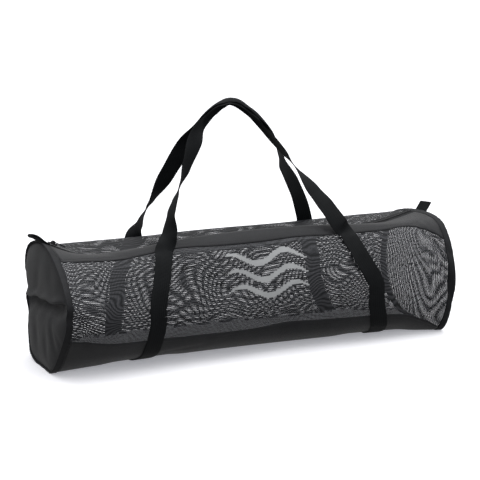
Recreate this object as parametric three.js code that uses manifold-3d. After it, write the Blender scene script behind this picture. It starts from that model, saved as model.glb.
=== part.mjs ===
import * as THREE from 'three';
import { mergeVertices } from 'three/addons/utils/BufferGeometryUtils.js';
import Module from 'manifold-3d';

// Mesh dive gear bag, in millimetres. X runs along the bag with the solid nylon end at -X,
// -Y is the front, Z is up, and the bag rests on the plane Z = 0.

// Body
const BODY_LENGTH = 720;
const BODY_DEPTH = 250;
const BODY_HEIGHT = 200;
const CLOTH = 1.2;
const SEAM_GAP = 0.3;

// Widths of the sewn panels, measured round the bag
const TAPE_WIDTH = 32;
const STRIP_WIDTH = 80;
const BOTTOM_WIDTH = 272;

// Bound seams at both ends
const BINDING_WIDTH = 12;
const BINDING_PROUD = 0.8;
const BINDING_DEPTH = 2.4;
const END_PANEL_SET_BACK = 3;
const END_PANEL_GAP = 0.5;

// Webbing
const WEBBING_WIDTH = 30;
const WEBBING = 1.6;
const STRAP_GAP = 0.6;
const LOOSE_GAP = 2.8;
const END_TO_END = 1.4;
const HANDLE_RISE = 225;
const GRIP_SPACING = 4.2;

// Zipper
const COIL_WIDTH = 5;
const COIL_HEIGHT = 1.8;
const COIL_GAP = 0.6;
const SLIDER_AT = -0.468;
const SLIDER_LENGTH = 15;
const SLIDER_WIDTH = 9;
const SLIDER_HEIGHT = 2.6;
const SLIDER_TAIL_SHARE = 0.8;
const SLIDER_NOSE_SHARE = 0.45;
const SLIDER_SHOULDER_SHARE = 0.2;
const COIL_SHOULDER_SHARE = 0.7;
const EAR = 1.3;
const EAR_HEIGHT = 4.6;
const EAR_ROOT_SHARE = 0.8;
const EAR_SUNK = 0.5;
const PIVOT_DEPTH = 2.2;
const PIN_RADIUS = 0.7;
const EAR_TOP_SHARE = 2.2;
const PIVOT_CLEARANCE = 0.35;
const PULL_LENGTH = 24;
const PULL_WIDTH = 8;
const PULL = 1.6;
const TONGUE_WIDTH = 3.4;
const TONGUE_SHARE = 0.3;
const PULL_CORNER = 2;
const PULL_SLOT_MARGIN = 4;
const PULL_SLOT_SHARE = 0.45;
const BARREL_WALL = 0.9;
const PULL_DROP = 4;

// End tabs of folded webbing
const TAB_WIDTH = 22;
const TAB = 3.2;
const RIGHT_TAB_HEIGHT = 19;
const RIGHT_TAB_TAPER = 0.08;
const RIGHT_TAB_BOW = 0.8;
const RIGHT_TAB_STEPS = 3;
const LEFT_TAB_STEPS = 8;

// How finely the cloth is faceted
const LENGTH_STEPS = 26;
const RING_STEPS = 48;
const ARC_STEP = 16;
const TAPE_STEP = 8;
const STRAP_STEP = 12;
const STRAP_COLUMNS = 2;
const WALL_ROWS = 8;
const OUTLINE_POINTS = 360;
const NORMAL_STEP = 2;
const CHORD_STEP = 1.5;

// How soon a handle leaves the cloth above its sewn end, as a factor on its run up the wall
const PEEL = 2.5;

// Cross-sections of the body. Each length is a share: at of BODY_LENGTH, names ending in Y of
// BODY_DEPTH, names ending in Z of BODY_HEIGHT. The zipper lies in a valley between two folds.
const SECTIONS = [
  { at: -0.50, zipY: -0.05, zipZ: 1.08, frontFoldY: -0.35, frontFoldZ: 0.98, frontY: -0.60, frontZ: 0.66,
    frontLowY: -0.36, floorFrontY: -0.19, floorBackY: 0.06, backLowY: 0.24, backY: 0.29, backZ: 0.50,
    backFoldY: 0.25, backFoldZ: 0.93 },
  { at: -0.38, zipY: -0.01, zipZ: 0.90, frontFoldY: -0.34, frontFoldZ: 0.99, frontY: -0.53, frontZ: 0.55,
    frontLowY: -0.38, floorFrontY: -0.15, floorBackY: 0.14, backLowY: 0.34, backY: 0.43, backZ: 0.50,
    backFoldY: 0.31, backFoldZ: 0.93 },
  { at: -0.14, zipY: 0.00, zipZ: 0.84, frontFoldY: -0.29, frontFoldZ: 1.05, frontY: -0.48, frontZ: 0.50,
    frontLowY: -0.38, floorFrontY: -0.12, floorBackY: 0.18, backLowY: 0.37, backY: 0.46, backZ: 0.50,
    backFoldY: 0.29, backFoldZ: 0.93 },
  { at: 0.12, zipY: 0.00, zipZ: 0.84, frontFoldY: -0.29, frontFoldZ: 1.05, frontY: -0.48, frontZ: 0.50,
    frontLowY: -0.39, floorFrontY: -0.15, floorBackY: 0.18, backLowY: 0.38, backY: 0.46, backZ: 0.50,
    backFoldY: 0.29, backFoldZ: 0.93 },
  { at: 0.38, zipY: 0.03, zipZ: 0.92, frontFoldY: -0.33, frontFoldZ: 0.99, frontY: -0.49, frontZ: 0.50,
    frontLowY: -0.42, floorFrontY: -0.22, floorBackY: 0.20, backLowY: 0.41, backY: 0.48, backZ: 0.50,
    backFoldY: 0.32, backFoldZ: 0.92 },
  { at: 0.50, zipY: 0.06, zipZ: 1.00, frontFoldY: -0.35, frontFoldZ: 0.96, frontY: -0.50, frontZ: 0.50,
    frontLowY: -0.45, floorFrontY: -0.34, floorBackY: 0.20, backLowY: 0.43, backY: 0.50, backZ: 0.50,
    backFoldY: 0.36, backFoldZ: 0.88 },
];
const LOW_Z = 0.17;

// Soft dents and swells of the cloth: place along the bag and round it (0 and 1 at the zipper, the
// front first), depth as a share of BODY_DEPTH (inwards is positive), and half sizes as shares.
const FOLDS = [
  { at: -0.44, round: 0.21, depth: 0.020, halfLength: 0.05, halfRound: 0.06 },
  { at: -0.36, round: 0.31, depth: -0.014, halfLength: 0.06, halfRound: 0.07 },
  { at: -0.10, round: 0.24, depth: 0.018, halfLength: 0.11, halfRound: 0.05 },
  { at: 0.08, round: 0.33, depth: 0.022, halfLength: 0.09, halfRound: 0.04 },
  { at: 0.22, round: 0.20, depth: -0.014, halfLength: 0.08, halfRound: 0.06 },
  { at: 0.42, round: 0.25, depth: 0.022, halfLength: 0.05, halfRound: 0.08 },
  { at: -0.30, round: 0.75, depth: 0.024, halfLength: 0.09, halfRound: 0.06 },
  { at: 0.05, round: 0.78, depth: 0.020, halfLength: 0.12, halfRound: 0.05 },
  { at: 0.40, round: 0.72, depth: 0.024, halfLength: 0.06, halfRound: 0.07 },
  { at: -0.02, round: 0.90, depth: 0.016, halfLength: 0.10, halfRound: 0.04 },
];

// Routes of the sewn webbing round the bag, from its sewn end on the front to that on the back:
// place round the bag and along it, as shares.
const STRAP_ROUTES = {
  strap_left: [
    { round: 0.285, at: -0.271 }, { round: 0.36, at: -0.274 }, { round: 0.44, at: -0.272 },
    { round: 0.53, at: -0.281 }, { round: 0.60, at: -0.288 }, { round: 0.72, at: -0.252 },
    { round: 0.745, at: -0.250 },
  ],
  strap_right: [
    { round: 0.283, at: 0.290 }, { round: 0.31, at: 0.292 }, { round: 0.43, at: 0.328 },
    { round: 0.53, at: 0.322 }, { round: 0.60, at: 0.304 }, { round: 0.725, at: 0.286 },
    { round: 0.75, at: 0.285 },
  ],
};

// Where each handle lies against the wall above its sewn end, from that end upwards
const WALL_ROUTES = {
  frontLeft: [
    { round: 0.285, at: -0.271 }, { round: 0.262, at: -0.270 }, { round: 0.211, at: -0.254 },
    { round: 0.135, at: -0.228 },
  ],
  frontRight: [
    { round: 0.283, at: 0.290 }, { round: 0.260, at: 0.288 }, { round: 0.195, at: 0.252 },
    { round: 0.135, at: 0.226 },
  ],
  backLeft: [
    { round: 0.745, at: -0.250 }, { round: 0.765, at: -0.249 }, { round: 0.80, at: -0.236 },
    { round: 0.860, at: -0.222 },
  ],
  backRight: [
    { round: 0.750, at: 0.285 }, { round: 0.770, at: 0.284 }, { round: 0.80, at: 0.272 },
    { round: 0.860, at: 0.248 },
  ],
};

// Free webbing: along is a share of BODY_LENGTH, across of BODY_DEPTH, rise of HANDLE_RISE above
// the body. turn is the webbing's twist in degrees, 0 where it faces the front.
const LEGS = {
  frontLeft: [
    { along: -0.222, across: -0.348, rise: 0.03, turn: 0 },
    { along: -0.216, across: -0.322, rise: 0.12, turn: 18 },
    { along: -0.210, across: -0.290, rise: 0.25, turn: 62 },
    { along: -0.180, across: -0.232, rise: 0.44, turn: 90 },
    { along: -0.155, across: -0.184, rise: 0.578, turn: 116 },
    { along: -0.123, across: -0.110, rise: 0.744, turn: 140 },
  ],
  frontRight: [
    { along: 0.213, across: -0.366, rise: 0.05, turn: 6 },
    { along: 0.186, across: -0.300, rise: 0.19, turn: 30 },
    { along: 0.162, across: -0.240, rise: 0.30, turn: 52 },
    { along: 0.122, across: -0.152, rise: 0.508, turn: 90 },
    { along: 0.104, across: -0.110, rise: 0.60, turn: 100 },
  ],
  backLeft: [
    { along: -0.212, across: 0.334, rise: 0.02, turn: 20 },
    { along: -0.188, across: 0.264, rise: 0.21, turn: 90 },
    { along: -0.152, across: 0.200, rise: 0.425, turn: 130 },
    { along: -0.121, across: 0.126, rise: 0.637, turn: 155 },
  ],
  backRight: [
    { along: 0.224, across: 0.330, rise: 0.00, turn: 14 },
    { along: 0.186, across: 0.216, rise: 0.246, turn: 34 },
    { along: 0.142, across: 0.140, rise: 0.444, turn: 66 },
    { along: 0.121, across: 0.096, rise: 0.56, turn: 92 },
  ],
};

// The grip, where both handles run side by side, from left to right
const GRIP = [
  { along: -0.088, across: -0.004, rise: 0.865, turn: 140 },
  { along: -0.060, across: -0.002, rise: 0.945, turn: 132 },
  { along: -0.034, across: 0, rise: 0.985, turn: 118 },
  { along: -0.010, across: 0, rise: 0.995, turn: 104 },
  { along: 0.014, across: 0, rise: 0.945, turn: 106 },
  { along: 0.042, across: 0, rise: 0.855, turn: 112 },
  { along: 0.070, across: 0.002, rise: 0.745, turn: 112 },
];

// Bulges of the end panels: outwards at the middle, and one crease across the left one
const LEFT_BULGE = 11;
const CREASE_DEPTH = 15;
const CREASE_Z = 0.57;
const CREASE_HALF = 0.055;
const RIGHT_BULGE = 8;
const END_RINGS = 5;

// Left tab, from its seat to its curled tip: along the bag outwards and up, as shares of LEFT_TAB_REACH
const LEFT_TAB_REACH = 25;
const LEFT_TAB_CURL = [
  { out: 0.00, up: 0.00 }, { out: 0.20, up: 0.26 }, { out: 0.50, up: 0.42 },
  { out: 0.80, up: 0.42 }, { out: 1.00, up: 0.32 },
];

// Right tab: the direction of its width, and the way that it stands and leans
const RIGHT_TAB_ACROSS = new THREE.Vector3(0.42, -0.9, 0);
const RIGHT_TAB_UP = new THREE.Vector3(0.62, 0.12, 0.78);

// Colours and finishes
const FINISHES = {
  nylon: new THREE.MeshStandardMaterial({ color: 0x3a3b40, roughness: 0.6, metalness: 0 }),
  net: new THREE.MeshStandardMaterial({ color: 0x5a5b5e, roughness: 0.7, metalness: 0 }),
  webbing: new THREE.MeshStandardMaterial({ color: 0x1f2227, roughness: 0.7, metalness: 0 }),
  tape: new THREE.MeshStandardMaterial({ color: 0x26272b, roughness: 0.7, metalness: 0 }),
  binding: new THREE.MeshStandardMaterial({ color: 0x2c2b31, roughness: 0.6, metalness: 0 }),
  coil: new THREE.MeshStandardMaterial({ color: 0x1b1b1e, roughness: 0.4, metalness: 0 }),
  metal: new THREE.MeshStandardMaterial({ color: 0x2a2a2d, roughness: 0.35, metalness: 0.9 }),
};

const Y_AXIS = new THREE.Vector3(0, 1, 0);

function clamp01(t) {
  return Math.min(1, Math.max(0, t));
}

function smoothStep(t) {
  const c = clamp01(t);
  return c * c * (3 - 2 * c);
}

// Smooth interpolation of one named column of a table whose rows stand at increasing places
function column(table, name, place, key = 'at') {
  const last = table.length - 1;
  let i = 0;
  while (i < last - 1 && place > table[i + 1][key]) i += 1;
  const slope = (k) => {
    const a = table[Math.max(k - 1, 0)];
    const b = table[Math.min(k + 1, last)];
    return (b[name] - a[name]) / (b[key] - a[key]);
  };
  const a = table[i];
  const b = table[i + 1];
  const h = b[key] - a[key];
  const t = clamp01((place - a[key]) / h);
  const s = 1 - t;
  return (1 + 2 * t) * s * s * a[name] + t * s * s * h * slope(i)
    + t * t * (3 - 2 * t) * b[name] - t * t * s * h * slope(i + 1);
}

// The closed outline of the bag at one place along it, as fine points with their arc lengths.
// It starts at the zipper, goes down the front, under the floor and up the back.
const FLOOR_CORNER = 5;
const outlines = new Map();
function outline(at) {
  const key = at.toFixed(5);
  if (outlines.has(key)) return outlines.get(key);
  const c = (name) => column(SECTIONS, name, at);
  const floorMiddle = (c('floorFrontY') + c('floorBackY')) / 2;
  const shares = [
    [c('zipY'), c('zipZ')], [c('frontFoldY'), c('frontFoldZ')], [c('frontY'), c('frontZ')],
    [c('frontLowY'), LOW_Z], [c('floorFrontY'), 0], [floorMiddle, 0], [c('floorBackY'), 0],
    [c('backLowY'), LOW_Z], [c('backY'), c('backZ')], [c('backFoldY'), c('backFoldZ')],
  ];
  const corners = shares.map(([y, z]) => new THREE.Vector3(y * BODY_DEPTH, z * BODY_HEIGHT, 0));
  const curve = new THREE.CatmullRomCurve3(corners, true, 'centripetal');
  const points = [];
  const arcs = [0];
  for (let k = 0; k <= OUTLINE_POINTS; k += 1) {
    const p = curve.getPoint(k / OUTLINE_POINTS);
    points.push({ y: p.x, z: Math.max(p.y, 0) });
    if (k > 0) {
      const q = points[k - 1];
      arcs.push(arcs[k - 1] + Math.hypot(p.x - q.y, points[k].z - q.z));
    }
  }
  const floorIndex = Math.round((OUTLINE_POINTS * FLOOR_CORNER) / corners.length);
  const result = { points, arcs, length: arcs[OUTLINE_POINTS], floorArc: arcs[floorIndex] };
  outlines.set(key, result);
  return result;
}

function onOutline(section, arc) {
  const s = ((arc % section.length) + section.length) % section.length;
  let low = 0;
  let high = section.arcs.length - 1;
  while (high - low > 1) {
    const middle = (low + high) >> 1;
    if (section.arcs[middle] > s) high = middle;
    else low = middle;
  }
  const t = (s - section.arcs[low]) / (section.arcs[high] - section.arcs[low]);
  const a = section.points[low];
  const b = section.points[high];
  return { y: a.y + (b.y - a.y) * t, z: a.z + (b.z - a.z) * t };
}

function foldDepth(at, round) {
  return FOLDS.reduce((sum, f) => {
    const u = (at - f.at) / f.halfLength;
    const v = (round - f.round) / f.halfRound;
    return sum + f.depth * BODY_DEPTH * Math.exp(-u * u - v * v);
  }, 0);
}

// The floor of the bag rises over the webbing that passes under it
const LIFT = WEBBING + STRAP_GAP;
const LIFT_FLAT = WEBBING_WIDTH / 2 + BODY_LENGTH / LENGTH_STEPS;
const LIFT_RAMP = 40;
const LIFT_HEIGHT = 30;
function floorLift(x, z, round) {
  const nearest = Object.values(STRAP_ROUTES).map((route) => {
    const place = clamp01((round - route[0].round) / (route.at(-1).round - route[0].round));
    const spread = route[0].round + place * (route.at(-1).round - route[0].round);
    return Math.abs(x - BODY_LENGTH * column(route, 'at', spread, 'round'));
  });
  const beyond = (Math.min(...nearest) - LIFT_FLAT) / LIFT_RAMP;
  return LIFT * (1 - smoothStep(beyond)) * (1 - smoothStep(z / LIFT_HEIGHT));
}

// A point of the outside of the cloth, by its place along the bag and its arc from the zipper
function cloth(at, arc) {
  const section = outline(at);
  const p = onOutline(section, arc);
  const a = onOutline(section, arc - CHORD_STEP);
  const b = onOutline(section, arc + CHORD_STEP);
  const norm = Math.hypot(b.y - a.y, b.z - a.z);
  const round = (((arc % section.length) + section.length) % section.length) / section.length;
  const dent = foldDepth(at, round) * smoothStep(p.z / (BODY_HEIGHT * LOW_Z));
  const y = p.y - ((b.z - a.z) / norm) * dent;
  const z = p.z + ((b.y - a.y) / norm) * dent;
  const x = at * BODY_LENGTH;
  return new THREE.Vector3(x, y, z + floorLift(x, z, round));
}

function clothNormal(at, arc) {
  const step = NORMAL_STEP / BODY_LENGTH;
  const along = cloth(at + step, arc).sub(cloth(at - step, arc));
  const round = cloth(at, arc + NORMAL_STEP).sub(cloth(at, arc - NORMAL_STEP));
  return round.cross(along).normalize();
}

// The same point pushed outwards (or inwards where out is negative), square to the cloth but
// kept in its own cross-section
function clothOffset(at, arc, out) {
  const normal = clothNormal(at, arc).setX(0);
  return cloth(at, arc).addScaledVector(normal, out / normal.lengthSq());
}

// A closed solid between two grids of points, where top(i, j) and bottom(i, j) face each other
function slab(rows, columns, top, bottom) {
  const positions = [];
  const width = columns + 1;
  [top, bottom].forEach((side) => {
    for (let i = 0; i <= rows; i += 1) {
      for (let j = 0; j <= columns; j += 1) positions.push(...side(i, j).toArray());
    }
  });
  const layer = (rows + 1) * width;
  const index = [];
  const quad = (a, b, c, d) => index.push(a, b, c, a, c, d);
  for (let i = 0; i < rows; i += 1) {
    for (let j = 0; j < columns; j += 1) {
      const a = i * width + j;
      quad(a, a + 1, a + width + 1, a + width);
      quad(layer + a, layer + a + width, layer + a + width + 1, layer + a + 1);
    }
  }
  const wall = (a, b) => quad(b, a, a + layer, b + layer);
  for (let j = 0; j < columns; j += 1) {
    wall(j, j + 1);
    wall(rows * width + j + 1, rows * width + j);
  }
  for (let i = 0; i < rows; i += 1) {
    wall((i + 1) * width, i * width);
    wall(i * width + columns, (i + 1) * width + columns);
  }
  return facingOut(positions, index);
}

// A geometry from points and triangles, turned so that its faces point out
function facingOut(positions, index) {
  const at = (k) => new THREE.Vector3(positions[3 * k], positions[3 * k + 1], positions[3 * k + 2]);
  let volume = 0;
  for (let t = 0; t < index.length; t += 3) {
    volume += at(index[t]).dot(at(index[t + 1]).cross(at(index[t + 2])));
  }
  if (volume < 0) {
    for (let t = 0; t < index.length; t += 3) [index[t], index[t + 1]] = [index[t + 1], index[t]];
  }
  const geometry = new THREE.BufferGeometry();
  geometry.setAttribute('position', new THREE.Float32BufferAttribute(positions, 3));
  geometry.setIndex(index);
  geometry.computeVertexNormals();
  return geometry;
}

// The cloth tube's panels share these places along the bag, so their seams meet facet to facet
const TUBE_START = -0.5 + (BINDING_WIDTH + SEAM_GAP) / BODY_LENGTH;
const TUBE_END = 0.5 - (BINDING_WIDTH + SEAM_GAP) / BODY_LENGTH;
function tubePlace(i) {
  return TUBE_START + (TUBE_END - TUBE_START) * (i / LENGTH_STEPS);
}

// One panel of the tube between two seams, each a function of the outline that gives an arc
function panel(fromArc, toArc, arcStep = ARC_STEP) {
  const middle = outline(0);
  const columns = Math.max(2, Math.round((toArc(middle) - fromArc(middle)) / arcStep));
  const arc = (i, j) => {
    const section = outline(tubePlace(i));
    const from = fromArc(section);
    return from + ((toArc(section) - from) * j) / columns;
  };
  return slab(
    LENGTH_STEPS,
    columns,
    (i, j) => cloth(tubePlace(i), arc(i, j)),
    (i, j) => clothOffset(tubePlace(i), arc(i, j), -CLOTH),
  );
}

const halfTape = TAPE_WIDTH / 2;
const stripEnd = halfTape + STRIP_WIDTH;
const bottomFront = (section) => section.floorArc - BOTTOM_WIDTH / 2;
const bottomBack = (section) => section.floorArc + BOTTOM_WIDTH / 2;

// A bound seam that runs right round one end, a closed loop of rectangular section
function binding(sign) {
  const outer = sign * 0.5;
  const inner = sign * (0.5 - BINDING_WIDTH / BODY_LENGTH);
  const corners = [
    { at: outer, out: BINDING_PROUD }, { at: inner, out: BINDING_PROUD },
    { at: inner, out: -BINDING_DEPTH }, { at: outer, out: -BINDING_DEPTH },
  ];
  const positions = [];
  const index = [];
  for (let i = 0; i < RING_STEPS; i += 1) {
    corners.forEach(({ at, out }) => {
      const point = clothOffset(at, (outline(at).length * i) / RING_STEPS, out);
      positions.push(point.x, point.y, Math.max(point.z, 0));
    });
    const next = (i + 1) % RING_STEPS;
    for (let k = 0; k < corners.length; k += 1) {
      const m = (k + 1) % corners.length;
      const [a, b, c, d] = [i * 4 + k, i * 4 + m, next * 4 + m, next * 4 + k];
      index.push(a, b, c, a, c, d);
    }
  }
  return facingOut(positions, index);
}

// An end panel: a disc of cloth inside its binding, bulging by the height that bulge gives
function endPanel(sign, bulge) {
  const at = sign * (0.5 - (END_PANEL_SET_BACK + CLOTH / 2) / BODY_LENGTH);
  const section = outline(at);
  const inset = -(BINDING_DEPTH + END_PANEL_GAP);
  const rim = [];
  for (let i = 0; i < RING_STEPS; i += 1) {
    rim.push(clothOffset(at, (section.length * i) / RING_STEPS, inset));
  }
  const centre = rim.reduce((sum, p) => sum.add(p), new THREE.Vector3()).divideScalar(RING_STEPS);
  const plane = sign * (BODY_LENGTH / 2 - END_PANEL_SET_BACK);
  const positions = [];
  const index = [];
  const place = (i, ring, depth) => {
    const p = centre.clone().lerp(rim[i], ring / END_RINGS);
    const out = bulge(p, ring / END_RINGS);
    return [plane + sign * (out - depth), p.y, p.z];
  };
  [0, CLOTH].forEach((depth) => {
    positions.push(...place(0, 0, depth));
    for (let ring = 1; ring <= END_RINGS; ring += 1) {
      for (let i = 0; i < RING_STEPS; i += 1) positions.push(...place(i, ring, depth));
    }
  });
  const layer = 1 + END_RINGS * RING_STEPS;
  const id = (ring, i) => (ring === 0 ? 0 : 1 + (ring - 1) * RING_STEPS + (i % RING_STEPS));
  for (let i = 0; i < RING_STEPS; i += 1) {
    index.push(0, id(1, i), id(1, i + 1));
    index.push(layer, layer + id(1, i + 1), layer + id(1, i));
    for (let ring = 1; ring < END_RINGS; ring += 1) {
      const [a, b, c, d] = [id(ring, i), id(ring + 1, i), id(ring + 1, i + 1), id(ring, i + 1)];
      index.push(a, b, c, a, c, d);
      index.push(layer + a, layer + c, layer + b, layer + a, layer + d, layer + c);
    }
    const [e, f] = [id(END_RINGS, i), id(END_RINGS, i + 1)];
    index.push(e, layer + e, layer + f, e, layer + f, f);
  }
  return facingOut(positions, index);
}

function leftBulge(p, ring) {
  const toCrease = (p.z - CREASE_Z * BODY_HEIGHT) / (CREASE_HALF * BODY_HEIGHT);
  const crease = CREASE_DEPTH * Math.exp(-toCrease * toCrease);
  return (LEFT_BULGE - crease) * (1 - ring ** 4);
}

function rightBulge(p, ring) {
  return RIGHT_BULGE * (1 - ring * ring);
}

// Webbing that is sewn flat to the outside of the cloth, along a route round the bag
function sewnStrap(route) {
  const first = route[0].round;
  const last = route.at(-1).round;
  const rows = Math.round(((last - first) * outline(0).length) / STRAP_STEP);
  const columns = STRAP_COLUMNS;
  const point = (i, j, out) => {
    const round = first + ((last - first) * i) / rows;
    const middle = column(route, 'at', round, 'round');
    const at = middle + ((j / columns - 0.5) * WEBBING_WIDTH) / BODY_LENGTH;
    return clothOffset(at, round * outline(at).length, out);
  };
  return slab(rows, columns, (i, j) => point(i, j, STRAP_GAP + WEBBING), (i, j) => point(i, j, STRAP_GAP));
}

// The rows of a handle's centre line that lie against the wall, from its sewn end upwards. The
// webbing starts end to end with the sewn strap and then stands a little off the cloth.
function wallRows(route) {
  const first = route[0].round;
  const last = route.at(-1).round;
  const ordered = [...route].sort((a, b) => a.round - b.round);
  const start = first + (Math.sign(last - first) * END_TO_END) / outline(0).length;
  const rows = [];
  for (let k = 0; k <= WALL_ROWS; k += 1) {
    const round = start + ((last - start) * k) / WALL_ROWS;
    const at = column(ordered, 'at', round, 'round');
    const arc = round * outline(at).length;
    const gap = STRAP_GAP + (LOOSE_GAP - STRAP_GAP) * smoothStep((PEEL * k) / WALL_ROWS);
    rows.push({ point: clothOffset(at, arc, gap + WEBBING / 2), normal: clothNormal(at, arc) });
  }
  return rows;
}

function freeRow({ along, across, rise, turn }) {
  const z = BODY_HEIGHT + rise * HANDLE_RISE;
  return { point: new THREE.Vector3(along * BODY_LENGTH, across * BODY_DEPTH, z), turn };
}

// The two directions across a run of webbing: flat to the front, and away from the front
function acrossRun(run) {
  const flat = run.clone().cross(Y_AXIS).normalize();
  return { flat, deep: flat.clone().cross(run).normalize() };
}

function widthDirection(run, turn) {
  const { flat, deep } = acrossRun(run);
  const angle = THREE.MathUtils.degToRad(turn);
  return flat.multiplyScalar(Math.cos(angle)).addScaledVector(deep, Math.sin(angle));
}

// The turn of a row that lies on cloth, so that it lies flat on it
function turnOnCloth(row, run) {
  const { flat, deep } = acrossRun(run);
  const width = run.clone().cross(row.normal);
  const sense = width.dot(flat) < 0 ? -1 : 1;
  return THREE.MathUtils.radToDeg(Math.atan2(sense * width.dot(deep), sense * width.dot(flat)));
}

// A handle: up the wall, free to the grip, through it beside the other handle, and down again
function handle(side, name) {
  const left = [...wallRows(WALL_ROUTES[`${name}Left`]), ...LEGS[`${name}Left`].map(freeRow)];
  const right = [...wallRows(WALL_ROUTES[`${name}Right`]), ...LEGS[`${name}Right`].map(freeRow)];
  const rows = [...left, ...GRIP.map(freeRow), ...right.reverse()];
  const runs = rows.map((row, k) => {
    const before = rows[Math.max(k - 1, 0)].point;
    const after = rows[Math.min(k + 1, rows.length - 1)].point;
    return after.clone().sub(before).normalize();
  });
  rows.forEach((row, k) => {
    if (row.normal) row.turn = turnOnCloth(row, runs[k]);
  });
  for (let k = left.length; k < left.length + GRIP.length; k += 1) {
    const normal = runs[k].clone().cross(widthDirection(runs[k], rows[k].turn)).normalize();
    rows[k].point.addScaledVector(normal, (side * GRIP_SPACING) / 2);
  }
  const curve = new THREE.CatmullRomCurve3(rows.map((row) => row.point), false, 'centripetal');
  const steps = Math.round(curve.getLength() / STRAP_STEP);
  const turnAt = (t) => {
    const place = t * (rows.length - 1);
    const k = Math.min(Math.floor(place), rows.length - 2);
    return rows[k].turn + (rows[k + 1].turn - rows[k].turn) * smoothStep(place - k);
  };
  const frames = [];
  for (let i = 0; i <= steps; i += 1) {
    const t = curve.getUtoTmapping(i / steps);
    const run = curve.getTangent(t);
    const width = widthDirection(run, turnAt(t));
    const normal = run.clone().cross(width).normalize();
    frames.push({ point: curve.getPoint(t), width, normal });
  }
  const columns = STRAP_COLUMNS;
  const point = (i, j, out) => frames[i].point.clone()
    .addScaledVector(frames[i].width, (j / columns - 0.5) * WEBBING_WIDTH)
    .addScaledVector(frames[i].normal, out);
  return slab(steps, columns, (i, j) => point(i, j, WEBBING / 2), (i, j) => point(i, j, -WEBBING / 2));
}

// The zipper's coil, a low ridge along the middle of the tape
function coil() {
  const columns = STRAP_COLUMNS;
  const point = (i, j, low) => {
    const across = (j / columns - 0.5) * COIL_WIDTH;
    const rise = COIL_GAP + (low ? 0 : COIL_HEIGHT * (j === 1 ? 1 : COIL_SHOULDER_SHARE));
    return clothOffset(tubePlace(i), across, rise);
  };
  return slab(LENGTH_STEPS, columns, (i, j) => point(i, j, false), (i, j) => point(i, j, true));
}

// The slider's own frame: its origin on the coil, X along the zipper to the right, Z out of it
function sliderFrame() {
  const reach = (SLIDER_LENGTH / 2) / BODY_LENGTH;
  const height = COIL_GAP + COIL_HEIGHT;
  const before = clothOffset(SLIDER_AT - reach, 0, height);
  const after = clothOffset(SLIDER_AT + reach, 0, height);
  const run = after.clone().sub(before).normalize();
  const out = clothOffset(SLIDER_AT, 0, height + 1).sub(clothOffset(SLIDER_AT, 0, height));
  const across = out.cross(run).normalize();
  const up = run.clone().cross(across);
  const origin = before.add(after).multiplyScalar(0.5).addScaledVector(up, SEAM_GAP);
  return new THREE.Matrix4().makeBasis(run, across, up).setPosition(origin);
}

const PIVOT_HEIGHT = SLIDER_HEIGHT + EAR_HEIGHT - PIVOT_DEPTH;

const wasm = await Module();
wasm.setup();

function toSolid(geometry) {
  const bare = geometry.clone();
  bare.deleteAttribute('normal');
  bare.deleteAttribute('uv');
  const merged = mergeVertices(bare, 1e-4);
  const mesh = new wasm.Mesh({
    numProp: 3,
    vertProperties: new Float32Array(merged.attributes.position.array),
    triVerts: new Uint32Array(merged.index.array),
  });
  return new wasm.Manifold(mesh);
}

function toGeometry(solid) {
  const mesh = solid.getMesh();
  return facingOut(Array.from(mesh.vertProperties), Array.from(mesh.triVerts));
}

// A plate cut from a side view in X and Z, as wide as stated across Y
function sidePlate(shape, width, middle = 0) {
  const geometry = new THREE.ExtrudeGeometry(shape, { depth: width, bevelEnabled: false, curveSegments: 5 });
  geometry.rotateX(Math.PI / 2);
  geometry.translate(0, middle + width / 2, 0);
  return toSolid(geometry);
}

// The slider's body is pointed at its front, with two ears that hold the pin of the pull
function slider() {
  const half = SLIDER_WIDTH / 2;
  const plan = new THREE.Shape();
  const tail = half * SLIDER_TAIL_SHARE;
  const nose = half * SLIDER_NOSE_SHARE;
  const shoulder = SLIDER_LENGTH * SLIDER_SHOULDER_SHARE;
  plan.moveTo(-SLIDER_LENGTH / 2, -tail);
  plan.lineTo(shoulder, -half);
  plan.lineTo(SLIDER_LENGTH / 2, -nose);
  plan.lineTo(SLIDER_LENGTH / 2, nose);
  plan.lineTo(shoulder, half);
  plan.lineTo(-SLIDER_LENGTH / 2, tail);
  plan.closePath();
  const body = toSolid(new THREE.ExtrudeGeometry(plan, { depth: SLIDER_HEIGHT, bevelEnabled: false }));
  const ear = new THREE.Shape();
  const root = EAR_HEIGHT * EAR_ROOT_SHARE;
  const top = PIN_RADIUS * EAR_TOP_SHARE;
  ear.moveTo(-root, SLIDER_HEIGHT - EAR_SUNK);
  ear.lineTo(root, SLIDER_HEIGHT - EAR_SUNK);
  ear.lineTo(top, PIVOT_HEIGHT + PIN_RADIUS * 2);
  ear.lineTo(-top, PIVOT_HEIGHT + PIN_RADIUS * 2);
  ear.closePath();
  const between = TONGUE_WIDTH + 2 * PIVOT_CLEARANCE;
  const earMiddle = between / 2 + EAR / 2;
  const pin = new THREE.CylinderGeometry(PIN_RADIUS, PIN_RADIUS, between + EAR, 10);
  pin.translate(0, 0, PIVOT_HEIGHT);
  const whole = body.add(sidePlate(ear, EAR, earMiddle)).add(sidePlate(ear, EAR, -earMiddle));
  return toGeometry(whole.add(toSolid(pin)));
}

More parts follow.
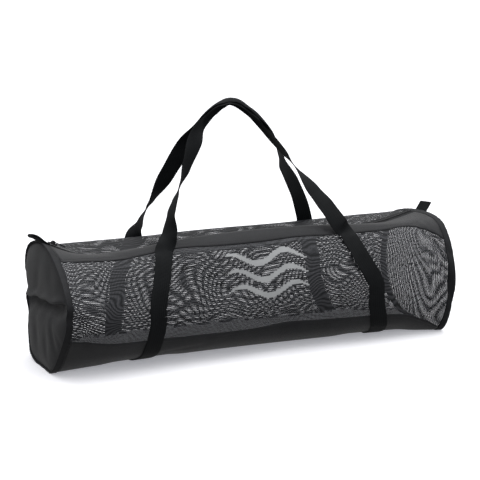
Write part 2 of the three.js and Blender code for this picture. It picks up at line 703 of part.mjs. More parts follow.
// The pull hangs on the pin: a barrel, a narrow tongue and a wider tab with a slot.
// Its own frame has the pin's axis along Y at the origin and the tab towards +X.
const BARREL_RADIUS = PIN_RADIUS + PIVOT_CLEARANCE + BARREL_WALL;
function pull() {
  const half = PULL_WIDTH / 2;
  const neck = PULL_LENGTH * TONGUE_SHARE;
  const corner = PULL_CORNER;
  const tab = new THREE.Shape();
  tab.moveTo(0, -TONGUE_WIDTH / 2);
  tab.lineTo(neck, -TONGUE_WIDTH / 2);
  tab.lineTo(neck + corner, -half);
  tab.lineTo(PULL_LENGTH - corner, -half);
  tab.lineTo(PULL_LENGTH, -half + corner);
  tab.lineTo(PULL_LENGTH, half - corner);
  tab.lineTo(PULL_LENGTH - corner, half);
  tab.lineTo(neck + corner, half);
  tab.lineTo(neck, TONGUE_WIDTH / 2);
  tab.lineTo(0, TONGUE_WIDTH / 2);
  tab.closePath();
  const slot = new THREE.Path();
  const slotHalf = half * PULL_SLOT_SHARE;
  const slotStart = neck + PULL_SLOT_MARGIN;
  const slotEnd = PULL_LENGTH - PULL_SLOT_MARGIN;
  slot.moveTo(slotStart, -slotHalf);
  slot.lineTo(slotStart, slotHalf);
  slot.lineTo(slotEnd, slotHalf);
  slot.lineTo(slotEnd, -slotHalf);
  slot.closePath();
  tab.holes.push(slot);
  const plate = new THREE.ExtrudeGeometry(tab, { depth: PULL, bevelEnabled: false });
  plate.translate(0, 0, -PULL / 2);
  const barrel = new THREE.CylinderGeometry(BARREL_RADIUS, BARREL_RADIUS, TONGUE_WIDTH, 12);
  const bore = PIN_RADIUS + PIVOT_CLEARANCE;
  const hole = new THREE.CylinderGeometry(bore, bore, TONGUE_WIDTH + 2, 10);
  return toGeometry(toSolid(plate).add(toSolid(barrel)).subtract(toSolid(hole)));
}

// The left tab is a folded end of webbing that curls outwards over the end of the bag
function leftTab() {
  const at = -0.5 + BINDING_WIDTH / 2 / BODY_LENGTH;
  const seat = clothOffset(at, 0, BINDING_PROUD + SEAM_GAP);
  const rows = LEFT_TAB_CURL.map(({ out, up }) => new THREE.Vector3(
    seat.x - out * LEFT_TAB_REACH,
    seat.y,
    seat.z + TAB / 2 + up * LEFT_TAB_REACH,
  ));
  const curve = new THREE.CatmullRomCurve3(rows);
  const steps = LEFT_TAB_STEPS;
  const side = (i, j, out) => {
    const run = curve.getTangent(i / steps);
    const normal = run.clone().cross(Y_AXIS);
    const point = curve.getPoint(i / steps);
    point.y += (j - 0.5) * TAB_WIDTH;
    return point.addScaledVector(normal, out);
  };
  return slab(steps, 1, (i, j) => side(i, j, TAB / 2), (i, j) => side(i, j, -TAB / 2));
}

// The right tab stands up flat and turned, and leans outwards
function rightTab() {
  const at = 0.5 - BINDING_WIDTH / 2 / BODY_LENGTH;
  const seat = clothOffset(at, 0, BINDING_PROUD + SEAM_GAP);
  const across = RIGHT_TAB_ACROSS.clone().normalize();
  const up = RIGHT_TAB_UP.clone().normalize();
  const normal = across.clone().cross(up).normalize();
  seat.addScaledVector(up, TAB);
  const steps = RIGHT_TAB_STEPS;
  const side = (i, j, out) => seat.clone()
    .addScaledVector(up, RIGHT_TAB_HEIGHT * (i / steps))
    .addScaledVector(across, (j - 0.5) * TAB_WIDTH * (1 - RIGHT_TAB_TAPER * (i / steps)))
    .addScaledVector(normal, out + RIGHT_TAB_BOW * Math.sin((i / steps) * Math.PI));
  return slab(steps, 1, (i, j) => side(i, j, TAB / 2), (i, j) => side(i, j, -TAB / 2));
}

const bag = new THREE.Group();

function add(name, geometry, finish, parent = bag) {
  const mesh = new THREE.Mesh(geometry, FINISHES[finish]);
  mesh.name = name;
  parent.add(mesh);
  return mesh;
}

add('bottom_panel', panel((s) => bottomFront(s) + SEAM_GAP, bottomBack), 'nylon');
add('mesh_front', panel(() => stripEnd + SEAM_GAP, bottomFront), 'net');
add('mesh_back', panel((s) => bottomBack(s) + SEAM_GAP, (s) => s.length - halfTape - SEAM_GAP), 'net');
add('top_strip', panel(() => halfTape + SEAM_GAP, () => stripEnd), 'nylon');
add('zipper_tape', panel(() => -halfTape, () => halfTape, TAPE_STEP), 'tape');
add('zipper_coil', coil(), 'coil');
add('end_binding_left', binding(-1), 'binding');
add('end_binding_right', binding(1), 'binding');
add('end_panel_left', endPanel(-1, leftBulge), 'nylon');
add('end_panel_right', endPanel(1, rightBulge), 'net');
add('end_tab_left', leftTab(), 'webbing');
add('end_tab_right', rightTab(), 'webbing');
Object.entries(STRAP_ROUTES).forEach(([name, route]) => add(name, sewnStrap(route), 'webbing'));
add('handle_front', handle(-1, 'front'), 'webbing');
add('handle_back', handle(1, 'back'), 'webbing');

const zipperHead = new THREE.Group();
sliderFrame().decompose(zipperHead.position, zipperHead.quaternion, zipperHead.scale);
bag.add(zipperHead);
add('zip_slider', slider(), 'metal', zipperHead);
const zipPull = add('zip_pull', pull(), 'metal', zipperHead);
zipPull.position.set(0, 0, PIVOT_HEIGHT);
zipPull.rotation.y = THREE.MathUtils.degToRad(PULL_DROP);

export default bag;
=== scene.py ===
# %% [markdown]
# # A net gear bag, dressed around its frame
#
# The bag is a long soft duffel: net walls, a solid nylon floor and left end, a zipper along the top and two
# webbing handles gathered in one grip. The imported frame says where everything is. This lesson makes every
# visible surface: open net, woven nylon, webbing, bound seams, stitches and the zipper.

# %% Load the frame and note its box
import math

import bmesh
import bpy
import numpy as np
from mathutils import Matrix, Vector, noise


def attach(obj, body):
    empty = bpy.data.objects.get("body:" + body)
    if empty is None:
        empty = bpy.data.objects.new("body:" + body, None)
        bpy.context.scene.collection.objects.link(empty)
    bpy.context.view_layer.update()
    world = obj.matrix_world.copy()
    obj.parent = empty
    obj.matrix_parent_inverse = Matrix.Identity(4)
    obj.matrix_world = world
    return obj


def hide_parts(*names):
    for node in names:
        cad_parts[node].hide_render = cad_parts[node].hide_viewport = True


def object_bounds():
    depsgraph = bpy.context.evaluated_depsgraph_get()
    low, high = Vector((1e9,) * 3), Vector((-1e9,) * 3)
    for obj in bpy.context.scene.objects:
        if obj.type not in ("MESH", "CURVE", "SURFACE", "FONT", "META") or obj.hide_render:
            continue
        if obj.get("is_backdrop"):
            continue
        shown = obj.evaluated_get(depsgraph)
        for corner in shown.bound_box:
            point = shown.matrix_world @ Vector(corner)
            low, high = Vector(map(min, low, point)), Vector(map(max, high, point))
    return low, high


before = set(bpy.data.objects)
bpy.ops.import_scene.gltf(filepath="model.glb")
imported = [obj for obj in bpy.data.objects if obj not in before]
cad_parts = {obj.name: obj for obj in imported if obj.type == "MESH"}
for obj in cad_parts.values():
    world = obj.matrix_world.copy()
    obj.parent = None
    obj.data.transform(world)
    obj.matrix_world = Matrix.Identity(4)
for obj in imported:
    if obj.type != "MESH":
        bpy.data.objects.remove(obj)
cad_box = [[float(v) for v in corner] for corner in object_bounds()]
print("nodes:", len(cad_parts), "CAD box:", cad_box)

# %% [markdown]
# ## The camera
# The photograph was taken from the front left, a little above. The view direction is an azimuth and an
# elevation, and the rest is where the picture's middle falls on the bag.

# %% Camera
PICTURE = 480
SENSOR = 36.0
FOCAL_PIXELS = 1871
AZIMUTH = math.radians(-24)
ELEVATION = math.radians(13.5)
DISTANCE = 3.270
AIM_RIGHT = 0.005
AIM_UP = 0.176

backward = Vector((
    math.sin(AZIMUTH) * math.cos(ELEVATION),
    -math.cos(AZIMUTH) * math.cos(ELEVATION),
    math.sin(ELEVATION),
))
rightward = Vector((math.cos(AZIMUTH), math.sin(AZIMUTH), 0))
upward = backward.cross(rightward)
camera = bpy.data.objects.new("camera", bpy.data.cameras.new("camera"))
camera.data.sensor_width = SENSOR
camera.data.lens = FOCAL_PIXELS * SENSOR / PICTURE
camera.location = rightward * AIM_RIGHT + upward * AIM_UP + backward * DISTANCE
camera.rotation_euler = backward.to_track_quat("Z", "Y").to_euler()
bpy.context.scene.collection.objects.link(camera)
bpy.context.scene.camera = camera
bpy.context.scene.view_settings.view_transform = "Standard"
print("camera at", tuple(round(v, 3) for v in camera.location), "lens", round(camera.data.lens, 1), "mm")

# %% [markdown]
# ## Small helpers
# Materials are written with real colours, so one function turns an sRGB hex value to linear light. One
# function adds a node to any tree, of a material or of geometry, with its settings, values and links.

# %% Helpers for colours and nodes
MM = 0.001


def linear(colour):
    """An sRGB hex value, such as 0x2a2b2e, as linear red, green, blue and alpha."""
    parts = [((colour >> shift) & 255) / 255 for shift in (16, 8, 0)]
    return [v / 12.92 if v <= 0.04045 else ((v + 0.055) / 1.055) ** 2.4 for v in parts] + [1.0]


def add_node(tree, kind, inputs=None, **settings):
    """Adds a node. inputs maps a socket's name or number to a value or to another node's output."""
    made = tree.nodes.new(kind)
    for name, value in settings.items():
        setattr(made, name, value)
    for name, value in (inputs or {}).items():
        if isinstance(value, bpy.types.NodeSocket):
            tree.links.new(value, made.inputs[name])
        else:
            made.inputs[name].default_value = value
    return made


def new_material(name, **finish):
    """A node material. finish gives values to its Principled shader's sockets, such as Sheen_Weight."""
    material = bpy.data.materials.new(name)
    material.use_nodes = True
    shader = material.node_tree.nodes["Principled BSDF"]
    for socket, value in finish.items():
        shader.inputs[socket.replace("_", " ")].default_value = value
    return material, material.node_tree, shader


print("0x808080 is linear", round(linear(0x808080)[0], 3))

# %% [markdown]
# ## Floor and light
# A white studio: the floor is pale and very large, and the sky dome is white to the camera and gives soft
# light from above. A large soft panel over the bag makes the highlight on its top, and a weak one fills its
# front. The floor hides from diffuse and glossy rays, so it catches the shadow and doesn't light the dark
# cloth from below.

# %% Studio floor
FLOOR_HALF = 30.0
FLOOR_GLOW = 0.3
floor_mesh = bpy.data.meshes.new("floor")
floor_corners = [(x * FLOOR_HALF, y * FLOOR_HALF, 0) for x, y in ((-1, -1), (1, -1), (1, 1), (-1, 1))]
floor_mesh.from_pydata(floor_corners, [], [(0, 1, 2, 3)])
floor = bpy.data.objects.new("floor", floor_mesh)
bpy.context.scene.collection.objects.link(floor)
floor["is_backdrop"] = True
floor_paint, tree, shader = new_material("studio_floor_paint", Base_Color=linear(0xf4f4f6), Roughness=0.9,
                                         Specular_IOR_Level=0.1, Emission_Color=linear(0xf6f7ff),
                                         Emission_Strength=FLOOR_GLOW)
floor_mesh.materials.append(floor_paint)
floor.visible_diffuse = False
floor.visible_glossy = False
print("floor:", 2 * FLOOR_HALF, "m across")

# %% Sky dome and light panels
SKY_SEEN = 1.1
SKY_ZENITH = 1.35
SKY_HORIZON = 0.26
SKY_TOP = 0.9
world = bpy.data.worlds.new("studio_dome")
bpy.context.scene.world = world
world.use_nodes = True
tree = world.node_tree
tree.nodes.clear()
direction = add_node(tree, "ShaderNodeTexCoord")
split = add_node(tree, "ShaderNodeSeparateXYZ", {0: direction.outputs["Generated"]})
strength = add_node(tree, "ShaderNodeMapRange", {
    "Value": split.outputs["Z"], "From Min": 0.0, "From Max": SKY_TOP,
    "To Min": SKY_HORIZON, "To Max": SKY_ZENITH,
})
lighting = add_node(tree, "ShaderNodeBackground", {
    "Color": linear(0xffffff), "Strength": strength.outputs[0],
})
seen = add_node(tree, "ShaderNodeBackground", {"Color": linear(0xffffff), "Strength": SKY_SEEN})
ray = add_node(tree, "ShaderNodeLightPath")
mixed = add_node(tree, "ShaderNodeMixShader", {
    0: ray.outputs["Is Camera Ray"], 1: lighting.outputs[0], 2: seen.outputs[0],
})
add_node(tree, "ShaderNodeOutputWorld", {"Surface": mixed.outputs[0]})


def area_light(name, place, aim, size, power):
    """A square soft light at a place, facing a point."""
    data = bpy.data.lights.new(name, "AREA")
    data.shape = "SQUARE"
    data.size = size
    data.energy = power
    light = bpy.data.objects.new(name, data)
    light.location = place
    light.rotation_euler = (Vector(place) - Vector(aim)).to_track_quat("Z", "Y").to_euler()
    bpy.context.scene.collection.objects.link(light)


area_light("top_panel", (0.3, -0.4, 2.6), (0, 0, 0.1), 2.4, 34)
area_light("front_panel", (0.4, -2.6, 1.6), (0, 0, 0.15), 1.6, 3.4)

# %% [markdown]
# ## The skin of the bag
# All cloth lies on one surface. A few cross-sections along the bag, each a smooth closed outline through
# ten named corners, are blended along its length. A place on the skin is then two numbers: how far along
# the bag, and the arc round it from the zipper, down the front, under the floor and up the back. These are
# the sizes and the sections that the frame was built from, in millimetres and in shares of the named sizes.

# %% Sizes and cross-sections
LENGTH = 720
DEPTH = 250
HEIGHT = 200
TAPE_WIDTH = 32
BINDING_WIDTH = 12
SEAM_GAP = 0.3
WEBBING_WIDTH = 30
WEBBING = 1.6
STRAP_GAP = 0.6
LOW_Z = 0.17


def records(columns, *rows):
    """Rows of numbers as records with named columns."""
    return [dict(zip(columns.split(), row)) for row in rows]


SECTIONS = records(
    "at zip_y zip_z front_fold_y front_fold_z front_y front_z front_low_y floor_front_y "
    "floor_back_y back_low_y back_y back_z back_fold_y back_fold_z",
    (-0.50, -0.05, 1.08, -0.35, 0.98, -0.60, 0.66, -0.36, -0.19, 0.06, 0.24, 0.29, 0.50, 0.25, 0.93),
    (-0.38, -0.01, 0.90, -0.34, 0.99, -0.53, 0.55, -0.38, -0.15, 0.14, 0.34, 0.43, 0.50, 0.31, 0.93),
    (-0.14, 0.00, 0.84, -0.29, 1.05, -0.48, 0.50, -0.38, -0.12, 0.18, 0.37, 0.46, 0.50, 0.29, 0.93),
    (0.12, 0.00, 0.84, -0.29, 1.05, -0.48, 0.50, -0.39, -0.15, 0.18, 0.38, 0.46, 0.50, 0.29, 0.93),
    (0.38, 0.03, 0.92, -0.33, 0.99, -0.49, 0.50, -0.42, -0.22, 0.20, 0.41, 0.48, 0.50, 0.32, 0.92),
    (0.50, 0.06, 1.00, -0.35, 0.96, -0.50, 0.50, -0.45, -0.34, 0.20, 0.43, 0.50, 0.50, 0.36, 0.88),
)

# Soft dents and swells: depth is a share of DEPTH, inwards is positive
FOLDS = records(
    "at round depth half_length half_round",
    (-0.44, 0.21, 0.020, 0.05, 0.06),
    (-0.36, 0.31, -0.014, 0.06, 0.07),
    (-0.10, 0.24, 0.018, 0.11, 0.05),
    (0.08, 0.33, 0.022, 0.09, 0.04),
    (0.22, 0.20, -0.014, 0.08, 0.06),
    (0.42, 0.25, 0.022, 0.05, 0.08),
    (-0.30, 0.75, 0.024, 0.09, 0.06),
    (0.05, 0.78, 0.020, 0.12, 0.05),
    (0.40, 0.72, 0.024, 0.06, 0.07),
    (-0.02, 0.90, 0.016, 0.10, 0.04),
)


def route(*rows):
    return records("round at", *rows)


# Where the sewn webbing runs round the bag
STRAP_ROUTES = {
    "strap_left": route((0.285, -0.271), (0.36, -0.274), (0.44, -0.272), (0.53, -0.281), (0.60, -0.288),
                        (0.72, -0.252), (0.745, -0.250)),
    "strap_right": route((0.283, 0.290), (0.31, 0.292), (0.43, 0.328), (0.53, 0.322), (0.60, 0.304),
                         (0.725, 0.286), (0.75, 0.285)),
}
print("sections:", len(SECTIONS), "dents and swells:", len(FOLDS))

# %% Smooth curves through the tables
def smooth_step(t):
    c = np.clip(t, 0, 1)
    return c * c * (3 - 2 * c)


def column(table, name, place, key="at"):
    """Smooth interpolation of one named column of a table whose rows stand at increasing places."""
    keys = np.array([row[key] for row in table], float)
    values = np.array([row[name] for row in table], float)
    last = len(keys) - 1
    before = np.maximum(np.arange(last + 1) - 1, 0)
    after = np.minimum(np.arange(last + 1) + 1, last)
    slopes = (values[after] - values[before]) / (keys[after] - keys[before])
    i = np.clip(np.searchsorted(keys, place) - 1, 0, last - 1)
    h = keys[i + 1] - keys[i]
    t = np.clip((place - keys[i]) / h, 0, 1)
    s = 1 - t
    return ((1 + 2 * t) * s * s * values[i] + t * s * s * h * slopes[i]
            + t * t * (3 - 2 * t) * values[i + 1] - t * t * s * h * slopes[i + 1])


def spline(points, closed, steps):
    """A centripetal spline through points, with an equal number of steps between each two of them."""
    points = np.asarray(points, float)
    count = len(points)
    if closed:
        padded = np.vstack([points[-1:], points, points[:2]])
    else:
        padded = np.vstack([2 * points[0] - points[1], points, 2 * points[-1] - points[-2]])
    spans = count if closed else count - 1
    t = (np.arange(steps) / steps)[:, None]
    rows = []
    for k in range(spans):
        p0, p1, p2, p3 = padded[k:k + 4]
        d0, d1, d2 = (max(np.linalg.norm(b - a), 1e-6) ** 0.5 for a, b in ((p0, p1), (p1, p2), (p2, p3)))
        m1 = ((p1 - p0) / d0 - (p2 - p0) / (d0 + d1) + (p2 - p1) / d1) * d1
        m2 = ((p2 - p1) / d1 - (p3 - p1) / (d1 + d2) + (p3 - p2) / d2) * d1
        rows.append(p1 + m1 * t + (3 * (p2 - p1) - 2 * m1 - m2) * t ** 2 + (2 * (p1 - p2) + m1 + m2) * t ** 3)
    end = points[:1] if closed else points[-1:]
    return np.vstack(rows + [end])


print("a smooth step at a quarter:", float(smooth_step(0.25)))

# %% The outline at one place along the bag
FLOOR_CORNER = 5
OUTLINE_STEPS = 36
outlines = {}


def outline(at):
    """The closed outline at one place along the bag: points, their arcs, its length and the floor's arc."""
    key = round(float(at), 5)
    if key not in outlines:
        c = {name: float(column(SECTIONS, name, at)) for name in SECTIONS[0]}
        floor_y = (c["floor_front_y"] + c["floor_back_y"]) / 2
        shares = [
            (c["zip_y"], c["zip_z"]), (c["front_fold_y"], c["front_fold_z"]), (c["front_y"], c["front_z"]),
            (c["front_low_y"], LOW_Z), (c["floor_front_y"], 0), (floor_y, 0), (c["floor_back_y"], 0),
            (c["back_low_y"], LOW_Z), (c["back_y"], c["back_z"]), (c["back_fold_y"], c["back_fold_z"]),
        ]
        points = spline(np.array(shares) * (DEPTH, HEIGHT), True, OUTLINE_STEPS)
        points[:, 1] = np.maximum(points[:, 1], 0)
        arcs = np.concatenate([[0], np.cumsum(np.linalg.norm(np.diff(points, axis=0), axis=1))])
        outlines[key] = (points, arcs, arcs[-1], arcs[FLOOR_CORNER * OUTLINE_STEPS])
    return outlines[key]


print("outline in mm, middle and left end:", round(outline(0)[2]), round(outline(-0.5)[2]))

# %% [markdown]
# The cloth isn't smooth: it has soft dents where nothing fills it, small puckers along every seam and fine
# creases. Dents come from the table above. Creases are long narrow troughs, placed and turned one by one.

# %% Dents and creases
# Fine creases: where, how deep in mm (inwards positive), half sizes along and across in mm, and their turn
CREASES = records(
    "at round depth half_long half_wide turn",
    (0.468, 0.200, 5.0, 46, 5, 80),
    (0.448, 0.235, 4.5, 52, 5, 84),
    (0.482, 0.270, 5.5, 60, 6, 74),
    (0.430, 0.175, 3.5, 34, 6, 76),
    (0.400, 0.165, 2.4, 26, 6, 88),
    (-0.500, 0.264, 5.5, 34, 11, 4),
    (-0.455, 0.300, 2.4, 36, 7, 70),
    (-0.100, 0.112, -1.6, 150, 6, -1),
    (0.160, 0.110, -1.4, 120, 6, 2),
    (0.452, 0.165, 2.6, 30, 5, 62),
    (0.438, 0.150, 2.2, 26, 5, 84),
    (0.474, 0.185, 2.4, 34, 5, 58),
    (0.500, 0.250, -8.0, 45, 60, 0),
    (-0.030, 0.885, -7.0, 85, 34, 0),
    (0.030, 0.345, 2.4, 55, 7, 8),
    (0.110, 0.335, 2.2, 42, 8, -14),
    (-0.060, 0.265, 1.6, 60, 8, 28),
    (-0.180, 0.220, 1.4, 40, 7, 52),
    (0.200, 0.310, 1.8, 46, 7, 22),
    (-0.350, 0.120, 1.4, 36, 8, 30),
    (0.430, 0.120, 1.6, 44, 8, -32),
    (0.330, 0.400, 1.2, 40, 8, 10),
    (-0.200, 0.400, 1.2, 46, 8, -8),
    (-0.380, 0.700, 2.0, 50, 8, 72),
    (0.180, 0.740, 2.2, 60, 9, 16),
    (0.440, 0.760, 2.2, 50, 7, 84),
)


def bell(x, y=0.0):
    return np.exp(-x * x - y * y)


def trough(row, x, y):
    """The depth of one long narrow trough, at x and y in mm from its middle."""
    turn = math.radians(row["turn"])
    along = (x * math.cos(turn) + y * math.sin(turn)) / row["half_long"]
    across = (y * math.cos(turn) - x * math.sin(turn)) / row["half_wide"]
    return row["depth"] * bell(along, across)


def dent_depth(at, share, length):
    """How far folds and creases take the cloth in, in mm."""
    folds = sum(
        f["depth"] * DEPTH * bell((at - f["at"]) / f["half_length"], (share - f["round"]) / f["half_round"])
        for f in FOLDS)
    return folds + sum(trough(c, (at - c["at"]) * LENGTH, (share - c["round"]) * length) for c in CREASES)


print("creases:", len(CREASES))

# %% Lift over the straps and slumps of the seam
LENGTH_STEPS = 26
LIFT = WEBBING + STRAP_GAP
LIFT_FLAT = WEBBING_WIDTH / 2 + LENGTH / LENGTH_STEPS
LIFT_RAMP = 40
LIFT_HEIGHT = 30
FAR_OFF = 1e9


def floor_lift(x, z, share):
    """The floor of the bag rises over the webbing that passes under it."""
    nearest = np.full_like(share, FAR_OFF)
    for path in STRAP_ROUTES.values():
        within = np.clip(share, path[0]["round"], path[-1]["round"])
        nearest = np.minimum(nearest, np.abs(x - LENGTH * column(path, "at", within, "round")))
    return LIFT * (1 - smooth_step((nearest - LIFT_FLAT) / LIFT_RAMP)) * (1 - smooth_step(z / LIFT_HEIGHT))


# The solid end's seam has slumped: where round it, how far in along the bag in mm, and over what share
SLUMPS = records("round inwards half", (0.797, 7.5, 0.022), (0.722, 3.8, 0.030), (0.615, -5.0, 0.035))
SLUMP_REACH = 40


def slump(at, share):
    near_end = bell((at + 0.5) * LENGTH / SLUMP_REACH)
    return near_end * sum(s["inwards"] * bell((share - s["round"]) / s["half"]) for s in SLUMPS)


print("slump in mm at the end's seam:", float(slump(-0.5, SLUMPS[0]["round"]).round(1)))

# %% The skin as a function of two numbers
NORMAL_STEP = 1.5


def skin(at, arcs):
    """Points of the cloth's outside, in mm, at one place along the bag and many arcs round it."""
    points, known, length, _ = outline(at)
    before, here, after = (
        np.array([np.interp(np.mod(arcs + further, length), known, points[:, k]) for k in (0, 1)])
        for further in (-NORMAL_STEP, 0, NORMAL_STEP))
    y, z = here
    dy, dz = after - before
    norm = np.hypot(dy, dz)
    share = np.mod(arcs, length) / length
    dent = dent_depth(at, share, length) * smooth_step(z / (HEIGHT * LOW_Z))
    x = at * LENGTH
    y = y - dz / norm * dent
    z = z + dy / norm * dent
    return np.column_stack([x + slump(at, share), y, z + floor_lift(x, z, share)])


def skin_grid(places, arcs_at, out=0.0):
    """A grid of skin points: one row for each place, with the arcs that arcs_at gives there, pushed out."""
    rows = np.stack([skin(at, np.asarray(arcs_at(at), float)) for at in places])
    if np.any(out):
        rows = rows + grid_normals(rows) * (np.asarray(out)[..., None] if np.ndim(out) else out)
    return rows


def grid_normals(rows):
    """Unit normals of a grid whose rows go along the bag and whose columns go round it, pointing out."""
    normals = np.cross(np.gradient(rows, axis=1), np.gradient(rows, axis=0))
    return normals / np.maximum(np.linalg.norm(normals, axis=2, keepdims=True), 1e-9)


def tube_places(count):
    """Places along the bag between the two bound ends."""
    edge = 0.5 - (BINDING_WIDTH + SEAM_GAP) / LENGTH
    return np.linspace(-edge, edge, count)


print("cloth at the front, half way along:", skin(0.0, np.array([outline(0)[2] / 4])).round(1)[0])

# %% [markdown]
# The panels aren't cut straight. The top strip is narrowest at the solid end and widest at the net end, and
# the nylon floor reaches higher up the front than up the back and slopes down near the net end.

# %% Where the panels end
HALF_TAPE = TAPE_WIDTH / 2

# The top strip's lower edge, as an arc from the middle of the zipper
STRIP_ENDS = records(
    "at arc", (-0.50, 74), (-0.44, 84), (-0.36, 98), (-0.20, 100), (-0.10, 107), (0.00, 109), (0.10, 105),
    (0.20, 105), (0.33, 100), (0.42, 96), (0.46, 114), (0.50, 146),
)
# The floor's upper edge on the front wall and on the back wall, as arcs from the middle of the floor
FLOOR_ENDS = records(
    "at arc", (-0.50, 140), (-0.30, 137), (0.00, 134), (0.30, 133), (0.38, 126), (0.43, 108), (0.50, 76),
)
FLOOR_END_BACK = 74


def strip_end(at):
    return float(column(STRIP_ENDS, "arc", at))


def bottom_front(at):
    return outline(at)[3] - float(column(FLOOR_ENDS, "arc", at))


def bottom_back(at):
    return outline(at)[3] + FLOOR_END_BACK


print("front net at the middle:", round(bottom_front(0) - strip_end(0)), "mm high,",
      "back net:", round(outline(0)[2] - HALF_TAPE - bottom_back(0)), "mm")

# %% [markdown]
# ## From grids to pieces
# A grid of points becomes a mesh with a UV map in metres of real cloth, so that a weave can follow the
# surface. A finished piece rides on the bag's body and stands for its CAD nodes, which are hidden.

# %% Mesh helpers
def grid_mesh(name, rows, uv_rows, closed=False):
    """A quad mesh from a grid of points in mm, with a UV map called cloth in metres."""
    m, n = rows.shape[:2]
    ids = np.arange(m * n).reshape(m, n)
    if closed:
        ids = np.hstack([ids, ids[:, :1]])
        uv_rows = np.hstack([uv_rows, 2 * uv_rows[:, -1:] - uv_rows[:, -2:-1]])
    quads = np.stack([ids[:-1, :-1], ids[:-1, 1:], ids[1:, 1:], ids[1:, :-1]], -1).reshape(-1, 4)
    uvs = np.stack([uv_rows[:-1, :-1], uv_rows[:-1, 1:], uv_rows[1:, 1:], uv_rows[1:, :-1]], 2).reshape(-1, 2)
    mesh = bpy.data.meshes.new(name)
    mesh.from_pydata((rows.reshape(-1, 3) * MM).tolist(), [], quads.tolist())
    layer = mesh.uv_layers.new(name="cloth")
    layer.data.foreach_set("uv", (uvs * MM).ravel())
    return mesh


def new_object(name, mesh, *materials):
    piece = bpy.data.objects.new(name, mesh)
    bpy.context.scene.collection.objects.link(piece)
    for material in materials:
        mesh.materials.append(material)
    return piece


def shade_smooth(mesh):
    mesh.polygons.foreach_set("use_smooth", [True] * len(mesh.polygons))


def cloth_map(along, across):
    """A grid of places on the flat cloth, in mm."""
    return np.stack(np.meshgrid(along, across, indexing="ij"), -1)


def evaluated(piece):
    """Replaces a piece's mesh by its evaluated one and removes its modifiers."""
    depsgraph = bpy.context.evaluated_depsgraph_get()
    mesh = bpy.data.meshes.new_from_object(piece.evaluated_get(depsgraph), depsgraph=depsgraph)
    mesh.name = piece.name
    piece.modifiers.clear()
    piece.data = mesh
    return piece


def thicken(piece, thickness, inner_material=0):
    """Gives a cloth sheet its thickness in mm, inwards. The inner face may have the piece's next material."""
    wall = piece.modifiers.new("thickness", "SOLIDIFY")
    wall.thickness = thickness * MM
    wall.offset = -1.0
    wall.material_offset = inner_material
    wall.use_even_offset = True
    return evaluated(piece)


def finish_piece(piece, slot, *nodes):
    """Sets the piece's body and hides the CAD nodes that it stands for. The slot is not used."""
    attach(piece, "bag")
    if nodes:
        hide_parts(*nodes)
    print(piece.name, "faces:", len(piece.data.polygons))


print("one unit of the tables is", MM, "m")

# %% [markdown]
# ## Materials
# Each finish starts from what the real one is. A weave is a relief made of crossed sine waves on the
# cloth's own UV map, in real thread spacings. Threads too fine for the picture are drawn somewhat coarser.

# %% A woven relief for any cloth
def cloth_coordinates(tree):
    """The place on the cloth, in mm."""
    uv = add_node(tree, "ShaderNodeUVMap", uv_map="cloth")
    in_mm = {0: uv.outputs[0], 1: (1 / MM,) * 3}
    return add_node(tree, "ShaderNodeVectorMath", in_mm, operation="MULTIPLY").outputs[0]


def thread_wave(tree, place, direction, pitch, **bend):
    """Ribs of one pitch in mm. bend can name the wave's Distortion and Detail Scale."""
    inputs = {"Vector": place, "Scale": math.pi / 10 / pitch}
    inputs.update({name.replace("_", " "): value for name, value in bend.items()})
    wave = add_node(tree, "ShaderNodeTexWave", inputs, wave_type="BANDS", bands_direction=direction)
    return wave.outputs["Fac"]


def weave_height(tree, pitch_u, pitch_v):
    """A relief of crossed threads."""
    cloth = cloth_coordinates(tree)
    along = thread_wave(tree, cloth, "X", pitch_u)
    across = thread_wave(tree, cloth, "Y", pitch_v)
    return add_node(tree, "ShaderNodeMath", {0: along, 1: across}, operation="MULTIPLY").outputs[0]


def mottled(tree, dark, light, scale):
    """A soft change of colour over the cloth, as dye, dust and wear leave it."""
    place = add_node(tree, "ShaderNodeTexCoord")
    cloud = add_node(tree, "ShaderNodeTexNoise", {
        "Vector": place.outputs["Object"], "Scale": scale, "Detail": 5.0, "Roughness": 0.6,
    })
    ramp = add_node(tree, "ShaderNodeMapRange", {"Value": cloud.outputs[0], "From Min": 0.3, "From Max": 0.7})
    mix = add_node(tree, "ShaderNodeMix", {0: ramp.outputs[0], 6: linear(dark), 7: linear(light)},
                   data_type="RGBA")
    return mix.outputs[2]


def relief(tree, shader, height, depth_mm):
    """Wires a relief of a real depth to the shader's normal."""
    bump = add_node(tree, "ShaderNodeBump", {"Height": height, "Strength": 1.0, "Distance": depth_mm * MM})
    tree.links.new(bump.outputs[0], shader.inputs["Normal"])


print("woven relief ready")

# %% [markdown]
# ### Coated nylon
# The floor, the top strip and the left end are a tight plain weave with a thin coating. It is nearly black,
# with a soft grey gloss where light grazes it, so it needs a medium roughness and a little sheen from the
# fibres. Its inner side is a pale coating. A little light comes through the cloth, and a weak emission
# there stands for it.

# %% Coated nylon
NYLON_THREAD = 1.3
LIGHT_THROUGH = 0.09
nylon, tree, shader = new_material("coated_nylon_plain_weave", Roughness=0.52, Sheen_Weight=0.09,
                                   Sheen_Roughness=0.5, Specular_IOR_Level=0.3)
tree.links.new(mottled(tree, 0x141518, 0x1e1f23, 26.0), shader.inputs["Base Color"])
relief(tree, shader, weave_height(tree, NYLON_THREAD, NYLON_THREAD), 0.12)
nylon_back = new_material("polyurethane_coated_reverse", Base_Color=linear(0xa8a9ac), Roughness=0.6,
                          Emission_Color=linear(0xe6e8ec), Emission_Strength=LIGHT_THROUGH)[0]
print("nylon thread:", NYLON_THREAD, "mm")

# %% [markdown]
# ### Coated net
# The net's threads are polyester dipped in soft PVC: grey, smooth and slightly glossy. The holes are real,
# so the material only has the thread's own colour. The back net is seen through the front one and from its
# shaded side, so it gets a darker copy whose colour is painted shade. The printed lines are a light grey ink
# on the same threads.

# %% Net and ink
NET_GRAIN = 6.6


